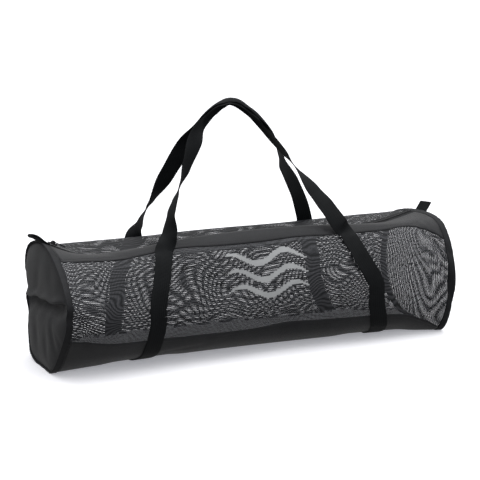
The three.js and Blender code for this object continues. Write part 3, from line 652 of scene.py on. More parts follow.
def net_material(name, dark, light):
    """Dipped threads, lighter and darker along wavy lines where they bunch."""
    material, tree, shader = new_material(name, Roughness=0.5, Specular_IOR_Level=0.2)
    grain = thread_wave(tree, cloth_coordinates(tree), "Y", NET_GRAIN, Distortion=36.0, Detail=1.0,
                        Detail_Scale=0.34)
    bunched = add_node(tree, "ShaderNodeMix", {0: grain, 6: linear(dark), 7: linear(light)}, data_type="RGBA")
    tree.links.new(bunched.outputs[2], shader.inputs["Base Color"])
    return material


net = net_material("pvc_coated_net", 0x232427, 0x4c4d51)
# The back net's threads are the same net in a darker colour: painted shade, not a darker net.
net_painted_shade = net_material("pvc_coated_net_painted_shade", 0x17181a, 0x343538)

ink, tree, shader = new_material("screen_print_ink", Roughness=0.6)
tree.links.new(mottled(tree, 0x9a9c9e, 0xa8aaac, 40.0), shader.inputs["Base Color"])
print("net finishes:", net.name, net_painted_shade.name, ink.name)

# %% [markdown]
# ### Webbing, seam tape and zipper tape
# Webbing is thick polypropylene, woven in columns with ribs across. The seam tape is a thin grosgrain with
# ribs across. The zipper's tape is a soft twill, its coil is nylon monofilament and its slider is painted
# zinc.

# %% Webbing and tapes
WEBBING_RIB = 2.2
WEBBING_COLUMN = 3.75
webbing, tree, shader = new_material("polypropylene_webbing", Roughness=0.62, Specular_IOR_Level=0.12,
                                     Sheen_Weight=0.01)
tree.links.new(mottled(tree, 0x0e1012, 0x16181a, 30.0), shader.inputs["Base Color"])
relief(tree, shader, weave_height(tree, WEBBING_COLUMN, WEBBING_RIB), 0.25)


def tape_material(name, dark, light, rib, depth, roughness):
    """A narrow woven tape with ribs across it."""
    material, tree, shader = new_material(name, Roughness=roughness, Sheen_Weight=0.02,
                                          Specular_IOR_Level=0.2)
    tree.links.new(mottled(tree, dark, light, 30.0), shader.inputs["Base Color"])
    relief(tree, shader, weave_height(tree, rib, rib * 1.6), depth)
    return material


binding_tape = tape_material("grosgrain_seam_tape", 0x17181b, 0x202124, 1.6, 0.15, 0.6)
zipper_twill = tape_material("polyester_zipper_twill", 0x101114, 0x18191c, 1.4, 0.12, 0.65)
thread = tape_material("bonded_nylon_thread", 0x1d1e21, 0x27282b, 0.6, 0.05, 0.45)

monofilament = new_material("nylon_monofilament_coil", Base_Color=linear(0x17171a), Roughness=0.35)[0]
painted_zinc, tree, shader = new_material("painted_die_cast_zinc", Roughness=0.38, Metallic=0.3)
tree.links.new(mottled(tree, 0x1c1c1f, 0x26262a, 400.0), shader.inputs["Base Color"])
print("materials:", len(bpy.data.materials))

# %% [markdown]
# ## Open net by Geometry Nodes
# A net is one small square repeated. The cloth is first a plain sheet with one quad for each hole. The tree
# then extrudes every face by itself with no offset, shrinks the new top faces towards their middles, and
# deletes them: what is left is the threads round each hole. Cells that the print covers keep their top
# face, because ink bridges such small holes, and they get the ink as their material.

# %% Trees with named inputs
def new_tree(name, inputs, output):
    """A geometry tree, and the identifiers of its inputs. inputs maps each name to a type."""
    tree = bpy.data.node_groups.new(name, "GeometryNodeTree")
    sockets = {title: tree.interface.new_socket(title, in_out="INPUT", socket_type=f"NodeSocket{kind}")
               for title, kind in inputs.items()}
    tree.interface.new_socket(output, in_out="OUTPUT", socket_type="NodeSocketGeometry")
    return tree, {title: socket.identifier for title, socket in sockets.items()}


def run_tree(piece, tree, sockets, values):
    """Runs a tree on a piece with its named values, and keeps the result as a plain mesh."""
    work = piece.modifiers.new(tree.name, "NODES")
    work.node_group = tree
    for title, value in values.items():
        work[sockets[title]] = value
    return evaluated(piece)


# %% The net's tree
net_tree, net_inputs = new_tree("open_net", {
    "Sheet": "Geometry", "Hole share": "Float", "Thread": "Material", "Ink": "Material",
}, "Net")
given = add_node(net_tree, "NodeGroupInput")
raised = add_node(net_tree, "GeometryNodeExtrudeMesh", {
    "Mesh": given.outputs["Sheet"], "Offset Scale": 0.0, "Individual": True,
})
shrunk = add_node(net_tree, "GeometryNodeScaleElements", {
    "Geometry": raised.outputs["Mesh"], "Selection": raised.outputs["Top"],
    "Scale": given.outputs["Hole share"],
})
printed = add_node(net_tree, "GeometryNodeInputNamedAttribute", {"Name": "printed"}, data_type="BOOLEAN")
bare = add_node(net_tree, "FunctionNodeBooleanMath", {0: printed.outputs[0]}, operation="NOT")
open_top = add_node(net_tree, "FunctionNodeBooleanMath", {
    0: raised.outputs["Top"], 1: bare.outputs[0],
}, operation="AND")
holed = add_node(net_tree, "GeometryNodeDeleteGeometry", {
    "Geometry": shrunk.outputs[0], "Selection": open_top.outputs[0],
}, domain="FACE", mode="ALL")
threads = add_node(net_tree, "GeometryNodeSetMaterial", {
    "Geometry": holed.outputs[0], "Material": given.outputs["Thread"],
})
inked = add_node(net_tree, "GeometryNodeSetMaterial", {
    "Geometry": threads.outputs[0], "Selection": printed.outputs[0], "Material": given.outputs["Ink"],
})
real = add_node(net_tree, "GeometryNodeRealizeInstances", {"Geometry": inked.outputs[0]})
add_node(net_tree, "NodeGroupOutput", {"Net": real.outputs[0]})
print("nodes in the net's tree:", len(net_tree.nodes))

# %% From a sheet to a net
FRONT_HOLE_SHARE = 0.49
BACK_HOLE_SHARE = 0.38
END_HOLE_SHARE = 0.46


def make_net(name, mesh, finish, hole_share, printed_faces=None):
    """A net from a sheet with one quad for each cell."""
    mark = mesh.attributes.new("printed", "BOOLEAN", "FACE")
    if printed_faces is not None:
        mark.data.foreach_set("value", printed_faces)
    piece = new_object(name, mesh, finish, ink)
    shade_smooth(mesh)
    return run_tree(piece, net_tree, net_inputs, {"Hole share": hole_share, "Thread": finish, "Ink": ink})


print("open area of the front net:", round(FRONT_HOLE_SHARE ** 2, 2))

# %% [markdown]
# ## The net walls
# The front net runs from the top strip to the nylon floor, the back net from the floor up to the zipper.
# Both are laid on the skin, a hair under the solid cloth where they are sewn to it. The real net has about
# one thread a millimetre, too fine to show, so it is drawn coarser. Front and back differ in pitch, and the
# threads wander a little, so that streaks show where one net is seen through the other.

# %% Sheets for the net walls
FRONT_PITCH = (2.3, 2.3)
BACK_PITCH = (2.1, 3.55)
NET_WANDER = 2.2
NET_WANDER_RUN = 60.0
NET_BORDER = 8
NET_UNDER = -0.7
SEAM_LAP = 5.0


def wandering(rows, pitch, seed):
    """Lets the threads of a grid wander over its own surface. Its borders stay where they are."""
    m, n = rows.shape[:2]
    i, j = np.meshgrid(np.arange(m), np.arange(n), indexing="ij")
    fade = smooth_step(np.minimum(np.minimum(i, m - 1 - i), np.minimum(j, n - 1 - j)) / NET_BORDER)
    places = [Vector((a * pitch[0], b * pitch[1], seed)) / NET_WANDER_RUN
              for a, b in zip(i.ravel(), j.ravel())]
    shift_i, shift_j = (np.array([noise.noise(v + Vector((0, 0, away))) for v in places]).reshape(m, n)
                        * fade * NET_WANDER for away in (0.0, 9.0))
    i, j = i + shift_i, j + shift_j
    low_i, low_j = (np.clip(v.astype(int), 0, top - 2) for v, top in ((i, m), (j, n)))
    s, t = (i - low_i)[..., None], (j - low_j)[..., None]
    return ((1 - s) * ((1 - t) * rows[low_i, low_j] + t * rows[low_i, low_j + 1])
            + s * ((1 - t) * rows[low_i + 1, low_j] + t * rows[low_i + 1, low_j + 1]))


def net_wall(name, start, end, pitch):
    """A sheet with one quad for each cell, between two arcs that change along the bag."""
    width = end(0) - start(0)
    along = round(2 * tube_places(2)[1] * LENGTH / pitch[0])
    share = np.linspace(0, 1, round(width / pitch[1]) + 1)
    places = tube_places(along + 1)
    rows = skin_grid(places, lambda at: start(at) + (end(at) - start(at)) * share, NET_UNDER)
    rows = wandering(rows, pitch, width)
    return rows, grid_mesh(name, rows, cloth_map(places * LENGTH, share * width))


front_rows, front_sheet = net_wall("net_front", lambda at: strip_end(at) - SEAM_LAP,
                                   lambda at: bottom_front(at) + SEAM_LAP, FRONT_PITCH)
back_sheet = net_wall("net_back", lambda at: bottom_back(at) - SEAM_LAP,
                      lambda at: outline(at)[2] - HALF_TAPE + SEAM_LAP, BACK_PITCH)[1]
print("cells in front:", len(front_sheet.polygons), "at the back:", len(back_sheet.polygons))

# %% [markdown]
# Three wavy lines in light grey are printed on the front. The print is a choice of cells: those whose
# middle lies within a line are marked, and the tree inks them.

# %% Print and nets
PRINT_PLACE = (-64, 84)
PRINT_RISE = (106, 186)
PRINT_LINES = 3
PRINT_WIDTH = 10
PRINT_WAVE = 9
PRINT_TURNS = 1.5
PRINT_SHIFT = 0.5


def in_print(rows):
    """Which cells the three wavy printed lines cover."""
    centre = (rows[:-1, :-1] + rows[1:, 1:]) / 2
    x, z = centre[..., 0], centre[..., 2]
    run = (x - PRINT_PLACE[0]) / (PRINT_PLACE[1] - PRINT_PLACE[0])
    covered = np.zeros(x.shape, bool)
    for k in range(PRINT_LINES):
        middle = PRINT_RISE[0] + (PRINT_RISE[1] - PRINT_RISE[0]) * (k + 0.5) / PRINT_LINES
        wave = middle + PRINT_WAVE * np.sin(run * math.tau * PRINT_TURNS + k * PRINT_SHIFT)
        half = PRINT_WIDTH / 2 * np.sqrt(np.clip(np.sin(np.clip(run, 0, 1) * math.pi), 0, 1))
        covered |= (np.abs(z - wave) < half) & (run > 0) & (run < 1)
    return covered.ravel()


front_net = make_net("net_front", front_sheet, net, FRONT_HOLE_SHARE, in_print(front_rows))
finish_piece(front_net, "net", "mesh_front")
finish_piece(make_net("net_back", back_sheet, net_painted_shade, BACK_HOLE_SHARE), "net", "mesh_back")

# %% [markdown]
# ## Solid nylon
# The floor of the bag and the strip beside the zipper are cut from nylon. Their edges are turned under, so
# the last few millimetres are twice as thick. Puckers along each seam come from a slow noise that dies away
# from it.

# %% Nylon floor and top strip
NYLON_STEP = 4.0
HEM_WIDTH = 8.0
HEM_RISE = 0.5
HEM_EDGE = 1.5
PUCKER = 0.7
PUCKER_RUN = 22.0
PUCKER_FINER = 2.7
PUCKER_START = 3.0
PUCKER_FADE = 16.0
TAPE_LAP = 2.0
CLOTH = 1.2


def gathers(x, run, seed):
    return np.array([noise.noise(Vector((v / run, seed, 0.0))) for v in x.ravel()]).reshape(x.shape)


def puckers(x, distance, seed):
    """Small rises beside a seam, in mm, as the thread gathers the cloth."""
    wave = gathers(x, PUCKER_RUN, seed) + 0.5 * gathers(x, PUCKER_RUN / PUCKER_FINER, seed + 7)
    return PUCKER * wave * np.exp(-distance / PUCKER_FADE)


def nylon_panel(name, start, end, seed, hems=(True, True)):
    """A solid panel between two arcs, with puckers, and turned hems on the stated sides."""
    places = tube_places(round(LENGTH / NYLON_STEP))
    width = end(0) - start(0)
    share = np.linspace(0, 1, round(width / NYLON_STEP) * 2)
    distance = np.minimum(np.where(hems[0], share, 1), np.where(hems[1], 1 - share, 1)) * width
    hem = HEM_RISE * smooth_step((HEM_WIDTH - distance) / HEM_EDGE)
    x = np.repeat((places * LENGTH)[:, None], len(share), 1)
    out = hem[None] + puckers(x, distance, seed) * smooth_step(distance / PUCKER_START)
    rows = skin_grid(places, lambda at: start(at) + (end(at) - start(at)) * share, out)
    rows[..., 2] = np.maximum(rows[..., 2], 0)
    sheet = grid_mesh(name, rows, cloth_map(places * LENGTH, share * width))
    piece = new_object(name, sheet, nylon, nylon_back)
    shade_smooth(piece.data)
    return thicken(piece, CLOTH, 1)


finish_piece(nylon_panel("nylon_floor", bottom_front, bottom_back, 3.0), "nylon", "bottom_panel")
strip = nylon_panel("nylon_top_strip", lambda at: HALF_TAPE - TAPE_LAP, strip_end, 11.0, (False, True))
finish_piece(strip, "nylon", "top_strip")

# %% [markdown]
# ## The ends
# Each end is a disc of cloth inside a bound seam. The left one is solid nylon with a deep crease right
# across it, the right one is net. Where the solid end's seam has slumped, its outer rings follow the seam.

# %% The seam line of an end
END_SPOKES = 200
END_SET_BACK = 3
END_INSET = 2.9


def loop_outward(points):
    """Unit directions out of a closed loop round the bag, square to the bag's length."""
    tangent = np.roll(points, -1, 0) - np.roll(points, 1, 0)
    outward = np.column_stack([np.zeros(len(points)), -tangent[:, 2], tangent[:, 1]])
    outward /= np.linalg.norm(outward, axis=1, keepdims=True)
    return -outward if np.sum((points - points.mean(0)) * outward) < 0 else outward


def skin_loop(at, count):
    """Points of the skin once round the bag, at one place along it."""
    return skin(at, np.arange(count) * outline(at)[2] / count)


def end_rim(sign):
    """The seam line of an end, drawn in a little from the skin, and the end's middle."""
    points = skin_loop(sign * (0.5 - END_SET_BACK / LENGTH), END_SPOKES)
    return points - loop_outward(points) * END_INSET, points.mean(0)


print("solid end is", np.ptp(end_rim(-1)[0], axis=0).round()[1:], "mm")

# %% Solid end
END_RINGS = 60
SEAM_POWER = 4
LEFT_BULGE = 11
CREASE_DEPTH = 19
CREASE_Z = 117
CREASE_LEAN = 0.15
CREASE_WAVES = ((2.2, 21.0, 0), (1.2, 8.0, 1))
CREASE_EDGE = 2.6
CREASE_FADE = 20
CREASE_LIP = 4.0
LIP_ABOVE = 6
LIP_HALF = 7

LEFT_FOLDS = records(
    "y z depth half_long half_wide turn",
    (-0.34, 0.34, 2.6, 34, 9, 80),
    (-0.20, 0.22, 2.0, 30, 10, 99),
    (-0.44, 0.30, 2.2, 26, 7, 62),
    (-0.02, 0.30, 1.6, 26, 12, 88),
    (-0.30, 0.92, 1.8, 30, 13, 64),
    (-0.08, 0.78, 1.4, 34, 14, 104),
    (-0.46, 0.62, 1.6, 18, 8, 30),
)


def left_bulge(y, z, ring):
    """The left end stands out, is creased right across and is full of soft folds."""
    waver = sum(high * np.sin(y / run + start) for high, run, start in CREASE_WAVES)
    above = z - CREASE_Z + CREASE_LEAN * y + waver
    hollow = bell(np.where(above > 0, above / CREASE_EDGE, above / CREASE_FADE))
    lip = bell((above - LIP_ABOVE) / LIP_HALF)
    folds = sum(trough(f, y - f["y"] * DEPTH, z - f["z"] * HEIGHT) for f in LEFT_FOLDS)
    return (LEFT_BULGE + CREASE_LIP * lip - CREASE_DEPTH * hollow - folds) * (1 - ring ** 5)


def solid_end_rows():
    """Rings of points from the middle of the solid end to its rim."""
    rim, centre = end_rim(-1)
    ring = (np.arange(1, END_RINGS + 1) / END_RINGS)[:, None]
    y, z = (centre[k] + (rim[None, :, k] - centre[k]) * ring for k in (1, 2))
    plane = END_SET_BACK - LENGTH / 2
    seam = (rim[None, :, 0] - plane) * ring ** SEAM_POWER
    return np.stack([plane + seam - left_bulge(y, z, ring), y, z], -1)


rows = solid_end_rows()
left_mesh = grid_mesh("nylon_end", rows, rows[..., 1:], closed=True)
left_end = new_object("nylon_end", left_mesh, nylon, nylon_back)
rim_fill = bmesh.new()
rim_fill.from_mesh(left_mesh)
rim_fill.verts.ensure_lookup_table()
rim_fill.faces.new([rim_fill.verts[k] for k in range(END_SPOKES)])
bmesh.ops.triangulate(rim_fill, faces=[f for f in rim_fill.faces if len(f.verts) > 4])
bmesh.ops.recalc_face_normals(rim_fill, faces=rim_fill.faces)
if sum(f.normal.x * f.calc_area() for f in rim_fill.faces) > 0:
    bmesh.ops.reverse_faces(rim_fill, faces=rim_fill.faces)
rim_fill.to_mesh(left_mesh)
rim_fill.free()
shade_smooth(left_mesh)
finish_piece(thicken(left_end, CLOTH, 1), "nylon", "end_panel_left")

# %% [markdown]
# The right end's net can't be made from rings, because its holes would shrink towards the middle. A square
# grid is laid over the end instead, and its points beyond the seam are drawn in to it. Cells outside the
# seam are dropped.

# %% Net end
RIGHT_BULGE = 8
RIGHT_SAGS = ((2.5, -40, 26), (2.0, 50, 18))
rim, centre = end_rim(1)
low, high = rim.min(0), rim.max(0)
ys = np.arange(low[1], high[1], FRONT_PITCH[0])
zs = np.arange(low[2], high[2], FRONT_PITCH[1])
grid_y, grid_z = np.meshgrid(ys, zs, indexing="ij")
angle = np.arctan2(rim[:, 2] - centre[2], rim[:, 1] - centre[1])
order = np.argsort(angle)
reach = np.hypot(rim[:, 1] - centre[1], rim[:, 2] - centre[2])[order]
here = np.arctan2(grid_z - centre[2], grid_y - centre[1])
limit = np.interp(here, angle[order], reach, period=math.tau)
ring = np.hypot(grid_y - centre[1], grid_z - centre[2]) / limit
sag = sum(depth * bell((grid_y - y) / half) for depth, y, half in RIGHT_SAGS)
bulge = (RIGHT_BULGE - sag) * (1 - np.minimum(ring, 1) ** 2)
points = np.stack([LENGTH / 2 - END_SET_BACK + bulge, grid_y, grid_z], -1)
points[..., 1:] = centre[1:] + (points[..., 1:] - centre[1:]) / np.maximum(ring, 1)[..., None]
right_mesh = grid_mesh("net_end", points, np.stack([grid_z, grid_y], -1))
keep = bmesh.new()
keep.from_mesh(right_mesh)
keep.faces.ensure_lookup_table()
inside = ring < 1
kept = (inside[:-1, :-1] | inside[1:, :-1] | inside[:-1, 1:] | inside[1:, 1:]).ravel()
bmesh.ops.delete(keep, geom=[f for f in keep.faces if not kept[f.index]], context="FACES")
keep.to_mesh(right_mesh)
keep.free()
finish_piece(make_net("net_end", right_mesh, net, END_HOLE_SHARE), "net", "end_panel_right")

# %% [markdown]
# ## Bound seams
# The tape is folded over the seam, so its section is a flat U. It is swept round the end's outline, and
# puckers a little between the stitches.

# %% Bound seams
BINDING_PROUD = 0.6
BINDING_DEPTH = 2.4
BINDING_STEPS = 260
GATHER = 0.5
GATHERS_ROUND = 14
WELD = 1e-6
BINDING_PROFILE = [(0.02, -0.75), (0.0, -0.2), (0.02, 0.5), (0.12, 0.95), (0.3, 1.0), (0.5, 0.92), (0.7, 1.0),
                   (0.9, 0.98), (1.0, 0.6), (1.0, -0.2), (0.96, -0.8), (0.7, -1.0), (0.3, -1.0)]


def close_shell(piece):
    """Merges doubled points of a swept shell, fills its open ends and turns its faces out."""
    shell = bmesh.new()
    shell.from_mesh(piece.data)
    bmesh.ops.remove_doubles(shell, verts=shell.verts, dist=WELD)
    open_ends = [e for e in shell.edges if e.is_boundary]
    if open_ends:
        bmesh.ops.holes_fill(shell, edges=open_ends, sides=0)
    bmesh.ops.recalc_face_normals(shell, faces=shell.faces)
    shell.to_mesh(piece.data)
    shell.free()
    shade_smooth(piece.data)
    return piece


def bound_seam(name, sign):
    """A loop of tape round an end. The profile runs from the outer edge inwards, over the seam."""
    rows = []
    angles = np.arange(BINDING_STEPS) * math.tau / BINDING_STEPS
    ring = [Vector((math.cos(a) * GATHERS_ROUND, math.sin(a) * GATHERS_ROUND, 0)) for a in angles]
    for share, rise in BINDING_PROFILE:
        points = skin_loop(sign * (0.5 - share * BINDING_WIDTH / LENGTH), BINDING_STEPS)
        seed = Vector((0, 0, sign * 3.0 + share))
        gather = GATHER * np.array([noise.noise(place + seed) for place in ring])
        out = np.where(rise > 0, BINDING_PROUD * rise + gather, BINDING_DEPTH * rise)
        points = points + loop_outward(points) * out[:, None]
        points[:, 0] += sign * gather
        points[:, 2] = np.maximum(points[:, 2], 0.0)
        rows.append(points)
    rows = np.stack(rows, 1)
    rows = np.concatenate([rows, rows[:1]])
    around = np.arange(BINDING_STEPS + 1) * outline(sign * 0.5)[2] / BINDING_STEPS
    across = np.arange(len(BINDING_PROFILE)) * 2.0
    mesh = grid_mesh(name, rows, cloth_map(around, across), closed=True)
    return close_shell(new_object(name, mesh, binding_tape))


for sign, side in ((-1, "left"), (1, "right")):
    finish_piece(bound_seam(f"binding_{side}", sign), "binding", f"end_binding_{side}")

# %% [markdown]
# ## Webbing
# Sewn straps and free handles are one band each. The band is a closed sweep: a flat section with round
# edges is carried along a line, with a width direction that turns. At the grip the band curls into a
# trough, because hands and the hook of a shop have bunched it.

# %% A band of webbing
BAND_COLUMNS = 12
EDGE_ROUND = 0.5
EDGE_WIDTH = 0.8
EDGE_ANGLE = math.radians(60)
FLAT_CURL = 1e-3
WAVE_TURNS = 1.3


def band_mesh(name, centres, widths, normals, curls, waves, width=WEBBING_WIDTH, thick=WEBBING):
    """A closed band along centre points, with unit width and normal directions and a curl in radians."""
    across = np.linspace(-0.5, 0.5, BAND_COLUMNS + 1)
    top, low = [], []
    for centre, side, normal, curl, wave in zip(centres, widths, normals, curls, waves):
        if abs(curl) > FLAT_CURL:
            radius = width / curl
            u = radius * np.sin(across * curl)
            w = radius * (1 - np.cos(across * curl))
            tilt = across * curl
        else:
            u, w, tilt = across * width, np.zeros_like(across), np.zeros_like(across)
        w = w - w.mean() + wave * np.sin(across * math.tau * WAVE_TURNS)
        base = centre + u[:, None] * side + w[:, None] * normal
        out = np.cos(tilt)[:, None] * normal - np.sin(tilt)[:, None] * side
        edge = np.clip((0.5 - np.abs(across)) * width / EDGE_WIDTH, 0, 1)
        half = thick / 2 * (EDGE_ROUND + (1 - EDGE_ROUND) * np.sqrt(edge))
        top.append(base + out * half[:, None])
        low.append(base - out * half[:, None])
    top, low = np.array(top), np.array(low)
    loop = np.concatenate([top, low[:, ::-1]], axis=1)
    run = np.concatenate([[0], np.cumsum(np.linalg.norm(np.diff(centres, axis=0), axis=1))])
    place = np.concatenate([across, across[::-1]]) * width + width / 2
    uv = np.stack([np.broadcast_to(place, loop.shape[:2]), np.broadcast_to(run[:, None], loop.shape[:2])], -1)
    piece = close_shell(new_object(name, grid_mesh(name, loop, uv, closed=True), webbing))
    piece.modifiers.new("edges", "EDGE_SPLIT").split_angle = EDGE_ANGLE
    return evaluated(piece)


print("webbing:", WEBBING_WIDTH, "by", WEBBING, "mm")

# %% [markdown]
# The sewn straps lie flat on the skin. Their line round the bag is the table of routes that the frame's own
# straps follow, so they stay in place over every dent.

# %% Sewn straps
STRAP_STEP = 4.0
FRAME_STEP = 2.0


def unit(vector):
    return vector / np.linalg.norm(vector)


def skin_point(at, share, further=0.0):
    """One point of the skin, at a share of the way round the bag and further by an arc in mm."""
    return skin(at, np.array([share * outline(at)[2] + further]))[0]


def skin_frame(at, share):
    """A point on the skin with its normal."""
    step = FRAME_STEP / LENGTH
    round_way = skin_point(at, share, FRAME_STEP) - skin_point(at, share, -FRAME_STEP)
    along = skin_point(at + step, share) - skin_point(at - step, share)
    return skin_point(at, share), unit(np.cross(round_way, along))


def sewn_strap(name, table):
    """A band that lies on the skin along a route."""
    first, last = table[0]["round"], table[-1]["round"]
    steps = round((last - first) * outline(0)[2] / STRAP_STEP)
    centres, normals = [], []
    for share in np.linspace(first, last, steps + 1):
        at = float(column(table, "at", share, "round"))
        point, normal = skin_frame(at, share)
        centres.append(point + normal * (STRAP_GAP + WEBBING / 2))
        normals.append(normal)
    centres = np.array(centres)
    runs = np.gradient(centres, axis=0)
    widths = [unit(np.cross(run, normal)) for run, normal in zip(runs, normals)]
    normals = [unit(np.cross(width, run)) for width, run in zip(widths, runs)]
    flat = np.zeros(len(centres))
    centres[:, 2] = np.maximum(centres[:, 2], WEBBING / 2)
    return band_mesh(name, centres, widths, normals, flat, flat)


for name, path in STRAP_ROUTES.items():
    finish_piece(sewn_strap(f"webbing_{name}", path), "webbing", name)

# %% [markdown]
# ## The handles
# Each handle leaves the wall above its sewn end, twists and joins the other one in the grip. The places and
# turns below start from the frame's own route and follow the real handles more closely.

# %% Handle routes
HANDLE_RISE = 225
WALL_ROUTES = {
    "frontLeft": route((0.285, -0.271), (0.262, -0.273), (0.211, -0.260), (0.135, -0.2375)),
    "frontRight": route((0.283, 0.290), (0.260, 0.288), (0.195, 0.252), (0.135, 0.226)),
    "backLeft": route((0.745, -0.250), (0.765, -0.249), (0.80, -0.236), (0.860, -0.222)),
    "backRight": route((0.750, 0.285), (0.770, 0.284), (0.80, 0.272), (0.860, 0.248)),
}
# along is a share of LENGTH, across of DEPTH, rise of HANDLE_RISE above the body, turn is in degrees
LEGS = {
    "frontLeft": [(-0.231, -0.348, 0.03, 22), (-0.218, -0.322, 0.12, 60), (-0.210, -0.290, 0.25, 90),
                  (-0.196, -0.262, 0.345, 100), (-0.180, -0.232, 0.44, 120), (-0.155, -0.184, 0.578, 148),
                  (-0.123, -0.110, 0.744, 176)],
    "frontRight": [(0.213, -0.366, 0.05, 2), (0.188, -0.300, 0.19, 16), (0.165, -0.240, 0.30, 32),
                   (0.122, -0.152, 0.508, 76), (0.104, -0.110, 0.60, 92)],
    "backLeft": [(-0.205, 0.334, 0.02, 92), (-0.195, 0.300, 0.125, 112), (-0.184, 0.264, 0.21, 130),
                 (-0.152, 0.200, 0.425, 174), (-0.121, 0.126, 0.637, 188)],
    "backRight": [(0.230, 0.330, 0.00, 2), (0.186, 0.216, 0.246, 20), (0.142, 0.140, 0.444, 40),
                  (0.123, 0.096, 0.56, 60)],
}
GRIP = [(-0.088, -0.004, 0.865, 140), (-0.060, -0.002, 0.945, 132), (-0.034, 0, 0.985, 116),
        (-0.010, 0, 0.995, 100), (0.018, 0, 0.948, 97), (0.049, 0, 0.865, 97), (0.079, 0.002, 0.755, 96)]
print("points of each leg:", {key: len(leg) for key, leg in LEGS.items()})

# %% Rows of a handle
# A row is a place, a turn, and the cloth's normal where the webbing lies on the wall
END_TO_END = 0.1
LOOSE_GAP = 2.8
WALL_ROWS = 8
PEEL = 2.5
Y_AXIS = np.array([0.0, 1.0, 0.0])


def across_run(run):
    """The two directions across a run of webbing: flat to the front, and away from it."""
    flat = unit(np.cross(run, Y_AXIS))
    return flat, unit(np.cross(flat, run))


def width_direction(run, turn):
    flat, deep = across_run(run)
    return flat * math.cos(turn) + deep * math.sin(turn)


def wall_rows(table):
    """The end of a handle on the wall. It starts just past the sewn strap and peels away from the cloth."""
    first, last = table[0]["round"], table[-1]["round"]
    ordered = sorted(table, key=lambda row: row["round"])
    start = first + math.copysign(END_TO_END / outline(0)[2], last - first)
    rows = []
    for k in range(WALL_ROWS + 1):
        share = start + (last - start) * k / WALL_ROWS
        at = float(column(ordered, "at", share, "round"))
        gap = STRAP_GAP + (LOOSE_GAP - STRAP_GAP) * float(smooth_step(PEEL * k / WALL_ROWS))
        point, normal = skin_frame(at, share)
        rows.append([point + normal * (gap + WEBBING / 2), None, normal])
    return rows


def free_row(along, across, rise, turn):
    point = np.array([along * LENGTH, across * DEPTH, HEIGHT + rise * HANDLE_RISE])
    return [point, math.radians(turn), None]


def turn_on_cloth(run, normal):
    """The turn that lays the webbing flat on cloth."""
    flat, deep = across_run(run)
    width = np.cross(run, normal)
    sense = -1 if width @ flat < 0 else 1
    return math.atan2(sense * (width @ deep), sense * (width @ flat))


print("a handle leaves the wall at", wall_rows(WALL_ROUTES["frontLeft"])[-1][0].round())

# %% Handles
HANDLE_STEPS = 24
BAND_STEP = 3.0
GRIP_SPACING = 4.2
GRIP_CURL = math.radians(125)
GRIP_FADE = 60.0
CRUMPLE_RUN = 23.0
CRUMPLE_CURL = 0.5
CRUMPLE_WAVE = 0.5
CRUMPLE_SHIFT = 0.8


def handle(name, side, key):
    """One handle, from its sewn end on the left, over the grip, to the one on the right."""
    left, right = (wall_rows(WALL_ROUTES[key + end]) + [free_row(*row) for row in LEGS[key + end]]
                   for end in ("Left", "Right"))
    rows = left + [free_row(*row) for row in GRIP] + right[::-1]
    places = np.array([row[0] for row in rows])
    runs = [unit(places[min(k + 1, len(rows) - 1)] - places[max(k - 1, 0)]) for k in range(len(rows))]
    for row, run in zip(rows, runs):
        if row[2] is not None:
            row[1] = turn_on_cloth(run, row[2])
    for k in range(len(left), len(left) + len(GRIP)):
        normal = unit(np.cross(runs[k], width_direction(runs[k], rows[k][1])))
        places[k] += normal * side * GRIP_SPACING / 2
    fine = spline(places, False, HANDLE_STEPS)
    run_length = np.concatenate([[0], np.cumsum(np.linalg.norm(np.diff(fine, axis=0), axis=1))])
    ease = smooth_step(np.arange(HANDLE_STEPS) / HANDLE_STEPS)
    turns = np.concatenate([a[1] + (b[1] - a[1]) * ease for a, b in zip(rows, rows[1:])] + [[rows[-1][1]]])
    marks = np.linspace(0, run_length[-1], round(run_length[-1] / BAND_STEP))
    centres = np.column_stack([np.interp(marks, run_length, fine[:, k]) for k in range(3)])
    turn = np.interp(marks, run_length, turns)
    tangents = np.gradient(centres, axis=0)
    widths = np.array([unit(width_direction(unit(t), a)) for t, a in zip(tangents, turn)])
    normals = np.array([unit(np.cross(unit(t), w)) for t, w in zip(tangents, widths)])
    grip_start, grip_end = (run_length[k * HANDLE_STEPS] for k in (len(left), len(left) + len(GRIP) - 1))
    inside = smooth_step((marks - grip_start + GRIP_FADE) / GRIP_FADE / 2)
    inside = inside * smooth_step((grip_end - marks + GRIP_FADE) / GRIP_FADE / 2)
    rough = np.array([noise.noise(Vector((m / CRUMPLE_RUN, side * 4.0, 1.0))) for m in marks])
    curls = -inside * GRIP_CURL * (1 + CRUMPLE_CURL * rough)
    centres = centres + normals * (inside * CRUMPLE_SHIFT * rough)[:, None]
    return band_mesh(name, centres, widths, normals, curls, inside * CRUMPLE_WAVE * rough)


for side, key in ((-1, "front"), (1, "back")):
    finish_piece(handle(f"webbing_handle_{key}", side, key), "webbing", f"handle_{key}")

# %% [markdown]
# ## The zipper
# Its tape is a dark strip down the valley on top, a little lower in its middle. The coil is a row of small
# loops that mesh from both sides: one small rounded piece, repeated along a line by Geometry Nodes.

# %% Zipper tape
TAPE_STEP = 4.0
TAPE_THICK = 1.0
TAPE_COLUMNS = 17
TAPE_TROUGH = (0.4, 9, 2)
high, half, slope = TAPE_TROUGH
places = tube_places(round(LENGTH / TAPE_STEP))
arcs = np.linspace(-HALF_TAPE, HALF_TAPE, TAPE_COLUMNS)
rise = high * (smooth_step((np.abs(arcs) - half) / slope) - 0.5)
rows = skin_grid(places, lambda at: arcs, np.broadcast_to(rise, (len(places), len(arcs))))
sheet = grid_mesh("zipper_tape_twill", rows, cloth_map(places * LENGTH, arcs))
tape = new_object("zipper_tape_twill", sheet, zipper_twill)
shade_smooth(sheet)
finish_piece(thicken(tape, TAPE_THICK), "tape", "zipper_tape")

